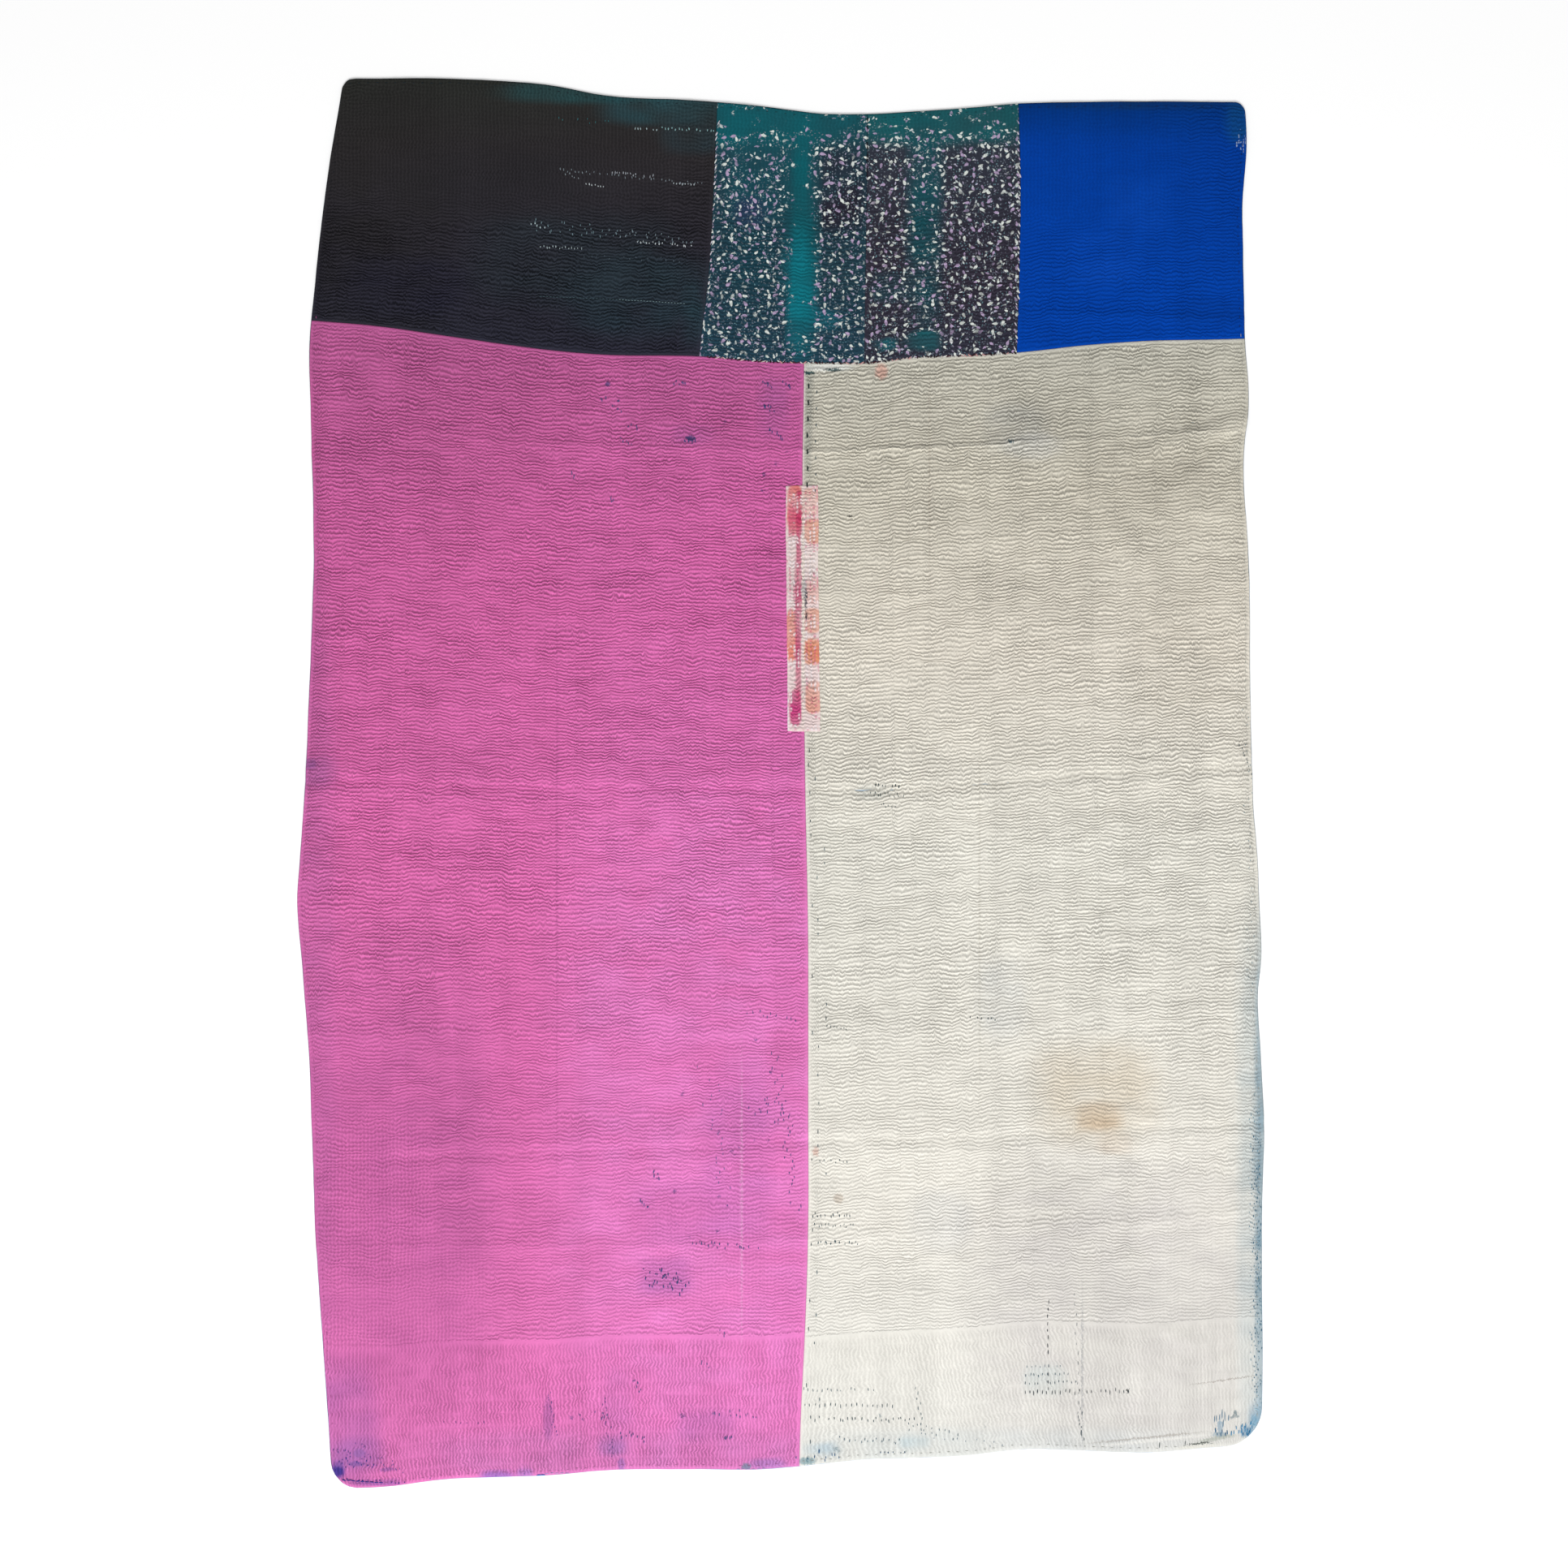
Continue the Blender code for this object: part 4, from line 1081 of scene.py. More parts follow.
creamLook = {
    "dashes": (),
    "blobs": (("50707C", 110.0, 0.75),),
    "spots": (
        (0.0720, 0.6200, 0.0380, 0.0060, "EFF0EA", 0.85),
        (0.0435, 0.6120, 0.0095, 0.0026, "234E52", 0.95),
        (0.0790, 0.6165, 0.0130, 0.0022, "2A4E52", 0.9),
        (0.1510, 0.6140, 0.0100, 0.0120, "E09888", 0.55),
        (0.1040, 0.3990, 0.0034, 0.0013, "30302E", 0.9),
        (0.3760, 0.5030, 0.0450, 0.0220, "E8EBEC", 0.20),
        (0.3434, 0.5100, 0.0036, 0.0036, "42606C", 0.85),
        (0.2225, 0.4600, 0.0012, 0.1900, "9A8A7A", 0.25),
        # A thin line down the lengthwise fold: painted shade.
        (0.2970, -0.1800, 0.0014, 0.3300, "A8A090", 0.22),
        (0.0870, -0.6170, 0.0080, 0.0080, "9A7A5A", 0.35),
        (0.0530, -0.5470, 0.0050, 0.0070, "D99A88", 0.5),
        (0.4500, -0.8800, 0.0013, 0.1400, "8E9298", 0.45),
        (0.6550, -0.9560, 0.0040, 0.0110, "5C92B0", 0.55),
        (0.6540, -0.9680, 0.0120, 0.0040, "5A8CA4", 0.50),
        (0.6940, -0.9640, 0.0110, 0.0090, "5490B4", 0.60),
        (0.7060, -0.9480, 0.0060, 0.0100, "6AA4C4", 0.55),
        (0.0400, -1.0080, 0.0140, 0.0060, "3E8494", 0.60),
        # x, y, half width, half height, dye, strength, slope: painted shade above the hem's fold and a
        # painted highlight below it, its pale ridge, painted shade in its slit, and painted shade along the
        # creases by the corner
        (0.5450, -0.9730, 0.0900, 0.0017, "A49C94", 0.55, 0.10),
        (0.5550, -0.9775, 0.0850, 0.0022, "F4F2EC", 0.60, 0.10),
        (0.6220, -0.9860, 0.0340, 0.0030, "E4E2D8", 0.70, 0.08),
        (0.6240, -0.9815, 0.0190, 0.0013, "4E5650", 0.90, 0.12),
        (0.6500, -0.9740, 0.0300, 0.0030, "A8B0A4", 0.60, 0.16),
        (0.6640, -0.8865, 0.0540, 0.0010, "8C827A", 0.55, 0.14),
        (0.5170, -0.9030, 0.0011, 0.0042, "202628", 0.90),
    ),
    "grooveShade": 0.37,
    "puff": 0.0009,
    "slubs": 0.07,
    "roughness": 0.93,
}

charcoalPanel = {
    "sides": ("leftEdge", "charcoalSeam"),
    "ends": ("topSeam", "topEdge"),
    "edges": {"left": "outer", "right": "seam", "bottom": "seam", "top": "outer"},
    "seed": 303,
    "pitch": quilting["pitch"],
    "quarters": quilting["quarters"],
    "stitchGap": quilting["stitchGap"],
    "turnedHeight": 0,
    "relief": 0.9,
    "under": topUnder,
    "face": topFace,
    "edgeDrop": 0.0006,
    "plainEvery": 4,
    "rippledBelow": False,
    "reliefAlong": ((0.60, 1.0), (1.05, 1.0)),
    "dyeAndShadeAlong": ((0.60, "303140"), (0.80, "312F38"), (0.95, "322F31"), (1.05, "30322F")),
    "dyePatches": (
        (-0.60, 0.86, 0.14, 0.26, "2A2828", 0.5),
        (-0.21, 0.73, 0.14, 0.08, "2E4650", 0.5),
        (-0.30, 0.78, 0.20, 0.09, "313E46", 0.5),
        (-0.27, 1.030, 0.18, 0.022, "2A565A", 0.7),
        (-0.17, 1.004, 0.12, 0.030, "2E5C66", 0.50),
        (-0.13, 0.965, 0.06, 0.036, "2A4A54", 0.35),
        (-0.13, 0.700, 0.02, 0.060, "2C5660", 0.30),
        (-0.560, 0.740, 0.12, 0.060, "2C2C40", 0.45),
        (-0.420, 0.900, 0.20, 0.080, "2B2A2E", 0.40),
    ),
    "wornPlaces": (
        (-0.230, 0.922, 0.120, 0.010, 0.55),
        (-0.250, 0.810, 0.120, 0.014, 0.60),
        (-0.250, 0.720, 0.120, 0.005, 0.55),
    ),
    "flatPlaces": (
        (-0.40, 0.960, 0.42, 0.150, 0.88, 1.0),
    ),
}
charcoalLook = {
    "dashes": (),
    "spots": (),
    "grooveShade": 0.66,
    "puff": 0.0010,
    "slubs": 0.24,
    "roughness": 0.88,
}

# The printed cloth: a plum ground with strewn petals, worn down to teal in bands.
printPanelLeft = {
    "sides": ("charcoalSeam", "printSeam"),
    "ends": ("topSeam", "topEdge"),
    "edges": {"left": "seam", "right": "seam", "bottom": "seam", "top": "outer"},
    "seed": 404,
    "pitch": quilting["pitch"],
    "quarters": quilting["quarters"],
    "stitchGap": quilting["stitchGap"],
    "turnedHeight": 0,
    "relief": 0.7,
    "under": topUnder,
    "face": topFace,
    "edgeDrop": 0.0006,
    "plainEvery": 4,
    "rippledBelow": False,
    "reliefAlong": ((0.60, 1.0), (1.05, 1.0)),
    "dyeAndShadeAlong": ((0.60, "264455"), (0.75, "24404E"), (0.95, "22424E"), (1.05, "1C565E")),
    "dyePatches": (
        (-0.030, 0.985, 0.20, 0.050, "14606A", 0.9),
        (-0.030, 0.900, 0.06, 0.08, "1C5A66", 0.6),
        (0.060, 0.690, 0.040, 0.020, "187080", 0.7),
        (-0.040, 0.830, 0.05, 0.13, "1C4A58", 0.6),
        (-0.045, 0.850, 0.03, 0.03, "34345E", 0.6),
        (0.033, 0.820, 0.026, 0.20, "10606A", 0.95),
        (0.028, 0.730, 0.024, 0.12, "127A88", 0.95),
        (0.090, 0.880, 0.050, 0.09, "2C2634", 0.85),
        (0.090, 0.760, 0.040, 0.05, "28404A", 0.4),
    ),
    "wornPlaces": (
        (-0.030, 0.988, 0.20, 0.030, 0.8),
        (0.030, 0.800, 0.026, 0.22, 0.95),
        (-0.035, 0.950, 0.04, 0.05, 0.4),
    ),
    "flatPlaces": (
        (0.0, 0.960, 0.30, 0.140, 0.85, 0.4),
    ),
}
printPanelRight = {
    **printPanelLeft,
    "sides": ("printSeam", "blueSeam"),
    "seed": 505,
    "dyeAndShadeAlong": ((0.60, "343644"), (0.75, "37323F"), (0.95, "343844"), (1.05, "1C5A60")),
    "dyePatches": (
        (0.240, 0.985, 0.20, 0.045, "166268", 0.85),
        (0.160, 0.655, 0.020, 0.012, "147480", 0.8),
        (0.217, 0.840, 0.030, 0.20, "165660", 0.75),
        (0.217, 0.660, 0.030, 0.02, "107078", 0.9),
        (0.160, 0.740, 0.035, 0.03, "1E505C", 0.6),
    ),
    "wornPlaces": (
        (0.240, 0.990, 0.20, 0.028, 0.7),
        (0.217, 0.850, 0.025, 0.10, 0.5),
        (0.217, 0.658, 0.028, 0.018, 0.9),
    ),
    "flatPlaces": (
        (0.24, 0.960, 0.30, 0.140, 0.85, 0.4),
    ),
}
petalLayers = {
    # offset, cells per metre, half width, half length in cells, two colours, share of cells, strength
    "layers": (
        (0.37, 260.0, 0.24, 0.40, "7C8692", "6C929A", 0.62, 0.80),
        (0.73, 108.0, 0.14, 0.32, "DCE4E2", "B9B4CC", 0.60, 0.95),
        (0.11, 72.0, 0.165, 0.32, "BCA6C8", "E8EEE8", 0.97, 0.97),
    ),
    "lilacFrom": 0.42,
}
printLook = {
    "dashes": (),
    "spots": (),
    "petals": petalLayers,
    "grooveShade": 0.30,
    "puff": 0.0005,
    "slubs": 0.14,
    "roughness": 0.90,
}

bluePanel = {
    "sides": ("blueSeam", "rightEdge"),
    "ends": ("topSeam", "topEdge"),
    "edges": {"left": "seam", "right": "outer", "bottom": "seam", "top": "outer"},
    "seed": 606,
    "pitch": quilting["pitch"],
    "quarters": quilting["quarters"],
    "stitchGap": quilting["stitchGap"],
    "turnedHeight": 0,
    "relief": 0.65,
    "under": topUnder,
    "face": topFace,
    "edgeDrop": 0.0006,
    "plainEvery": 4,
    "rippledBelow": False,
    "reliefAlong": ((0.60, 1.0), (1.05, 1.0)),
    "dyeAndShadeAlong": ((0.60, "0045B0"), (0.80, "0042AA"), (0.95, "003EA0"), (1.02, "00347C")),
    "dyePatches": (
        (0.54, 1.014, 0.22, 0.014, "0A3468", 0.75),
        (0.68, 0.985, 0.022, 0.040, "14527E", 0.60),
        (0.530, 0.860, 0.060, 0.060, "0E50BE", 0.30),
        (0.480, 0.780, 0.080, 0.050, "0E50BE", 0.28),
        (0.640, 0.700, 0.080, 0.030, "003A96", 0.45),
    ),
    "wornPlaces": (
        (0.690, 0.970, 0.020, 0.04, 0.6),
    ),
    "flatPlaces": (
        (0.42, 0.930, 0.26, 0.150, 0.85, 0.4),
    ),
}
blueLook = {
    "dashes": (("B0C4D8", 9, 0.7),),
    "spots": (),
    "grooveShade": 0.18,
    "puff": 0.0007,
    "slubs": 0.10,
    "roughness": 0.85,
}

# The cloth beneath. Its ripples are on the underside, as the same stitches go through it.
underCloth = {
    "sides": ("leftEdge", "rightEdge"),
    "ends": ("bottomEdge", "topEdge"),
    "edges": {"left": "rim", "right": "rim", "bottom": "rim", "top": "rim"},
    "seed": 707,
    "pitch": quilting["pitch"],
    "quarters": (0.0, 1.0),
    "stitchGap": 0.020,
    "turnedHeight": 0,
    "relief": 0.8,
    "plainEvery": 1,
    "rippledBelow": True,
    "reliefAlong": ((-1.05, 1.0), (1.05, 1.0)),
    "dyeAndShadeAlong": ((-1.05, "9AB4D4"), (-0.60, "A9C0D4"), (0.20, "9DB2C6"), (0.80, "41505F"), (1.05, "22303C")),
    "dyePatches": (
        (-0.70, -0.20, 0.06, 0.85, "B070A8", 0.9),
        (-0.34, -1.04, 0.40, 0.04, "C884B8", 0.9),
        (-0.66, -1.02, 0.06, 0.05, "3A3CA0", 0.9),
        (-0.40, -1.04, 0.07, 0.04, "4C62C8", 0.9),
        (0.36, -1.00, 0.36, 0.04, "C4C8C4", 0.8),
        (0.70, -0.20, 0.05, 0.80, "B4BCBA", 0.8),
        (0.70, -0.80, 0.05, 0.30, "6F9EB8", 0.8),
        (0.68, 0.85, 0.06, 0.20, "10346A", 0.9),
    ),
    "wornPlaces": ((0.0, 0.0, 0.7, 1.0, 0.12),),
    "flatPlaces": (),
}
underLook = {
    "dashes": (("4A6488", 11, 0.7),),
    "spots": (),
    "grooveShade": 0.30,
    "puff": 0.0006,
    "slubs": 0.10,
    "roughness": 0.92,
}

# The repair strip lies over the middle seam, worn through to the seam in one place.
seamY, seamX = sideSamples["centreSeam"]
sideSamples["stripLeft"] = (seamY, seamX - 0.0258)
sideSamples["stripRight"] = (seamY, seamX + 0.0240)
endSamples["stripLow"] = (np.array([-1.0, 1.0]), np.array([0.0775, 0.0775]))
endSamples["stripHigh"] = (np.array([-1.0, 1.0]), np.array([0.4450, 0.4450]))
repairStrip = {
    "sides": ("stripLeft", "stripRight"),
    "ends": ("stripLow", "stripHigh"),
    "edges": {"left": "strip", "right": "strip", "bottom": "strip", "top": "strip"},
    "seed": 808,
    "pitch": quilting["pitch"],
    "quarters": quilting["quarters"],
    "stitchGap": 0.0030,
    "lineShare": 0.24,
    "turnedHeight": 0,
    "firmness": 0.80,
    "relief": 0.70,
    "under": topFace + 0.0004,
    "face": topFace + 0.0012,
    "edgeDrop": 0.0003,
    "plainEvery": 2,
    "rippledBelow": False,
    "reliefAlong": ((0.0, 1.0), (1.0, 1.0)),
    "jogShare": 0.7,
    "dyeAndShadeAlong": ((0.0, "F4DEDC"), (1.0, "F4DEDC")),
    "dyePatches": (
        (0.0220, 0.4100, 0.0130, 0.0420, "E8807E", 0.95),
        (0.0180, 0.3950, 0.0070, 0.0300, "DE6A86", 0.80),
        (0.0170, 0.2210, 0.0085, 0.0430, "F08A74", 0.95),
        (0.0230, 0.1130, 0.0100, 0.0300, "D64A8A", 0.95),
        (0.0110, 0.1150, 0.0030, 0.0400, "F6E6F0", 0.90),
        (0.0470, 0.4200, 0.0160, 0.0230, "F0C2B6", 0.90),
        (0.0490, 0.3760, 0.0150, 0.0210, "EAA082", 0.85),
        (0.0500, 0.3300, 0.0140, 0.0200, "F6E8E2", 0.80),
        (0.0500, 0.2880, 0.0130, 0.0220, "F0BCB2", 0.80),
        (0.0480, 0.2430, 0.0150, 0.0205, "EE9E7C", 0.90),
        (0.0480, 0.1970, 0.0150, 0.0220, "EA946E", 0.95),
        (0.0500, 0.1290, 0.0140, 0.0270, "EEA48E", 0.85),
        (0.0285, 0.4000, 0.0060, 0.0400, "C42C62", 0.95),
        (0.0275, 0.2500, 0.0052, 0.1400, "C83C72", 0.95),
    ),
    "wornPlaces": ((0.034, 0.261, 0.060, 0.30, 0.8),),
    "flatPlaces": (),
}
stripLook = {
    "dashes": (("F7ECEE", 13, 0.75), ("DB5C86", 17, 0.5)),
    "spots": (
        (0.0345, 0.2600, 0.0021, 0.2000, "F2E8DC", 0.90),
        (0.0365, 0.2900, 0.0050, 0.0150, "98A0A6", 0.50),
        (0.0385, 0.2730, 0.0018, 0.0170, "2A3444", 0.85),
        (0.0390, 0.2500, 0.0016, 0.0080, "1E2A3C", 0.90),
    ),
    "grooveShade": 0.42,
    "puff": 0.0006,
    "slubs": 0.14,
    "roughness": 0.92,
}

clothPieces = (
    # name, cloth, look, replaced node, slot
    ("underClothSheet", underCloth, underLook, "back_cloth", "under_cloth"),
    ("pinkSheet", pinkPanel, pinkLook, "pink_panel", "pink_cloth"),
    ("creamSheet", creamPanel, creamLook, "cream_panel", "cream_cloth"),
    ("charcoalSheet", charcoalPanel, charcoalLook, "charcoal_panel", "charcoal_cloth"),
    ("printSheetLeft", printPanelLeft, printLook, "print_panel_left", "print_cloth"),
    ("printSheetRight", printPanelRight, printLook, "print_panel_right", "print_cloth"),
    ("blueSheet", bluePanel, blueLook, "blue_panel", "blue_cloth"),
    ("repairStripSheet", repairStrip, stripLook, "repair_strip", "patch_cloth"),
)
sewn = {}
for name, cloth, look, node, slot in clothPieces:
    piece = sewnSheet(name, cloth)
    piece.data.materials.append(clothMaterial(name + "Cloth", look))
    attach(piece, "root")
    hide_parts(node)
    sewn[name] = piece


def fromLowest(corners):
    # The same face, started at its lowest corner, so that the faces come in one order each run.
    first = corners.index(min(corners))
    return corners[first:] + corners[:first]


# Hand stitches: one is modelled, a short thread thickest in its middle, and copied along the seams.
bpy.ops.object.select_all(action="DESELECT")
bpy.ops.mesh.primitive_uv_sphere_add(
    segments=5, ring_count=6, radius=1, rotation=(0, 0, 0), location=(0, 0, 0),
)
oneStitch = bpy.context.object
oneStitch.name = "oneStitch"
bpy.ops.object.mode_set(mode="EDIT")
bpy.ops.mesh.select_all(action="SELECT")
bpy.ops.transform.rotate(value=math.pi / 2, orient_axis="Y", center_override=(0, 0, 0))
bpy.ops.transform.resize(value=(1.0, 1.0, 0.8))
bpy.ops.mesh.normals_make_consistent(inside=False)
bpy.ops.object.mode_set(mode="OBJECT")
stitchShape = np.array([tuple(vertex.co) for vertex in oneStitch.data.vertices])
stitchFaces = sorted(fromLowest(tuple(face.vertices)) for face in oneStitch.data.polygons)
bpy.data.objects.remove(oneStitch)


def clothBelow(names):
    # The sheets' surfaces, which the threads lie on.
    trees = []
    for name in names:
        mesh = sewn[name].data
        corners = np.zeros(len(mesh.vertices) * 3)
        mesh.vertices.foreach_get("co", corners)
        faces = [tuple(face.vertices) for face in mesh.polygons]
        trees.append(BVHTree.FromPolygons(corners.reshape(-1, 3).tolist(), faces))
    return trees


def heightOn(trees, x, y):
    # The height of the topmost sheet at a place.
    hits = [tree.ray_cast(Vector((x, y, 0.05)), Vector((0, 0, -1)))[0] for tree in trees]
    return max((hit.z for hit in hits if hit is not None), default=0.002)


def onCloth(trees, x, y):
    # Whether any sheet lies below a place.
    return any(tree.ray_cast(Vector((x, y, 0.05)), Vector((0, 0, -1)))[0] is not None for tree in trees)


def stitchPiece(name, stitches, trees):
    # stitches: start x, y, end x, y, thread radius, dye. The copies are joined into one piece.
    verts, faces, dyes = [], [], []
    for x0, y0, x1, y1, radius, dye in stitches:
        middle = np.array([(x0 + x1) / 2 + shift[0], (y0 + y1) / 2 + shift[1]])
        half = np.array([x1 - x0, y1 - y0]) / 2
        if not all(onCloth(trees, *(middle + half * reach)) for reach in (-1.3, 1.3)):
            continue
        aside = np.array([-half[1], half[0]]) / math.hypot(*half)
        first = len(verts)
        heights = {}
        for along, across, up in stitchShape:
            on = middle + half * along
            step = round(float(along), 3)
            if step not in heights:
                heights[step] = heightOn(trees, *on) + radius * 0.55 - 0.0003 * abs(step) ** 3
            flat = on + aside * across * radius
            verts.append((flat[0], flat[1], max(heights[step] + up * radius, 0.0001)))
        faces += [tuple(first + corner for corner in face) for face in stitchFaces]
        dyes += [hexColour(dye)] * len(stitchShape)
    mesh = bpy.data.meshes.new(name)
    mesh.from_pydata(verts, [], faces)
    mesh.update()
    mesh.shade_smooth()
    layer = mesh.attributes.new("dye", "FLOAT_COLOR", "POINT")
    layer.data.foreach_set("color", np.concatenate([dyes, np.ones((len(verts), 1))], 1).ravel())
    piece = bpy.data.objects.new(name, mesh)
    bpy.context.scene.collection.objects.link(piece)
    piece.data.materials.append(threadMaterial())
    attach(piece, "root")
    sewn[name] = piece
    print("stage:", name, "made,", len(stitches), "stitches")
    return piece


def threadMaterial():
    # One material for all threads, each with its own dye.
    if "sewingThread" in bpy.data.materials:
        return bpy.data.materials["sewingThread"]
    material = bpy.data.materials.new("sewingThread")
    material.use_nodes = True
    tree = material.node_tree
    shader = tree.nodes["Principled BSDF"]
    place = put(tree, "TexCoord", {}, out=3)
    dye = put(tree, "Attribute", {"attribute_name": "dye"})
    weave = useGroup(tree, groups["weave"], place, 0.25)
    tree.links.new(put(tree, "VectorMath", {"operation": "SCALE"}, dye, None, None, weave[0]),
                   shader.inputs["Base Color"])
    bump = tree.nodes.new("ShaderNodeBump")
    bump.inputs["Distance"].default_value = 0.0002
    tree.links.new(weave[1], bump.inputs["Height"])
    tree.links.new(bump.outputs[0], shader.inputs["Normal"])
    shader.inputs["Roughness"].default_value = 0.8
    shader.inputs["Specular IOR Level"].default_value = 0.2
    return material


def seamOvercast(rng):
    # Slanting stitches where the printed cloth meets the two big ones.
    stitches = []
    for x in np.arange(-0.108, 0.352, 0.0052):
        x = x + rng.uniform(-0.001, 0.001)
        y = float(endAt("topSeam", x))
        lean = rng.uniform(-0.0030, 0.0040)
        dye = rng.choice(["2A1C24", "3A2028", "522C34", "D8A4A4", "E8D4D0", "ECEAE4"])
        reach = rng.uniform(0.0012, 0.0028)
        stitches.append((x - lean, y - reach, x + lean, y + reach * 0.8, rng.uniform(0.0008, 0.0013), dye))
    return stitches


def hemDashes(rng):
    # Dark running stitches along the cream cloth's hem, close at the top and scattered lower down.
    stitches = []
    for y in np.arange(0.592, 0.440, -0.0245):
        x = float(sideAt("centreSeam", y)) + 0.0068 + rng.uniform(-0.0006, 0.0006)
        stitches.append((x, y + 0.0042, x + 0.0004, y - 0.0042, 0.0013, "1C2A30"))
        stitches.append((x + 0.0125, y - 0.006, x + 0.0122, y - 0.011, 0.0008, "4A5F68"))
    for y in np.arange(0.050, -1.000, -0.021):
        if rng.random() < 0.62:
            inset = rng.choice([0.0060, 0.0150, 0.0270])
            x = float(sideAt("centreSeam", y)) + inset + rng.uniform(-0.001, 0.001)
            half = rng.uniform(0.0018, 0.0036)
            stitches.append((x, y + half, x, y - half, 0.0007, rng.choice(["2F4450", "3E5A68", "56707C"])))
    return stitches


def sideOvercast(rng):
    # Pale stitches that whip the printed cloth's two sides down.
    stitches = []
    for name, way in (("charcoalSeam", 1), ("blueSeam", -1)):
        for y in np.arange(0.650, 0.990, 0.0082):
            y = y + rng.uniform(-0.002, 0.002)
            x = float(sideAt(name, y)) + way * rng.uniform(0.0005, 0.0035)
            dye = rng.choice(["F2F4F0", "E2DCE8", "C8B4D0", "8E9CA0"])
            half = rng.uniform(0.0018, 0.0036)
            stitches.append((x - way * half * 0.5, y - half, x + way * half * 0.5, y + half,
                             rng.uniform(0.0008, 0.0014), dye))
    for y in np.arange(0.905, 1.000, 0.0060):
        x = float(sideAt("printSeam", y)) + rng.uniform(-0.0006, 0.0006)
        stitches.append((x, y - 0.0030, x, y + 0.0026, 0.0011, rng.choice(["16141C", "241C28"])))
    return stitches


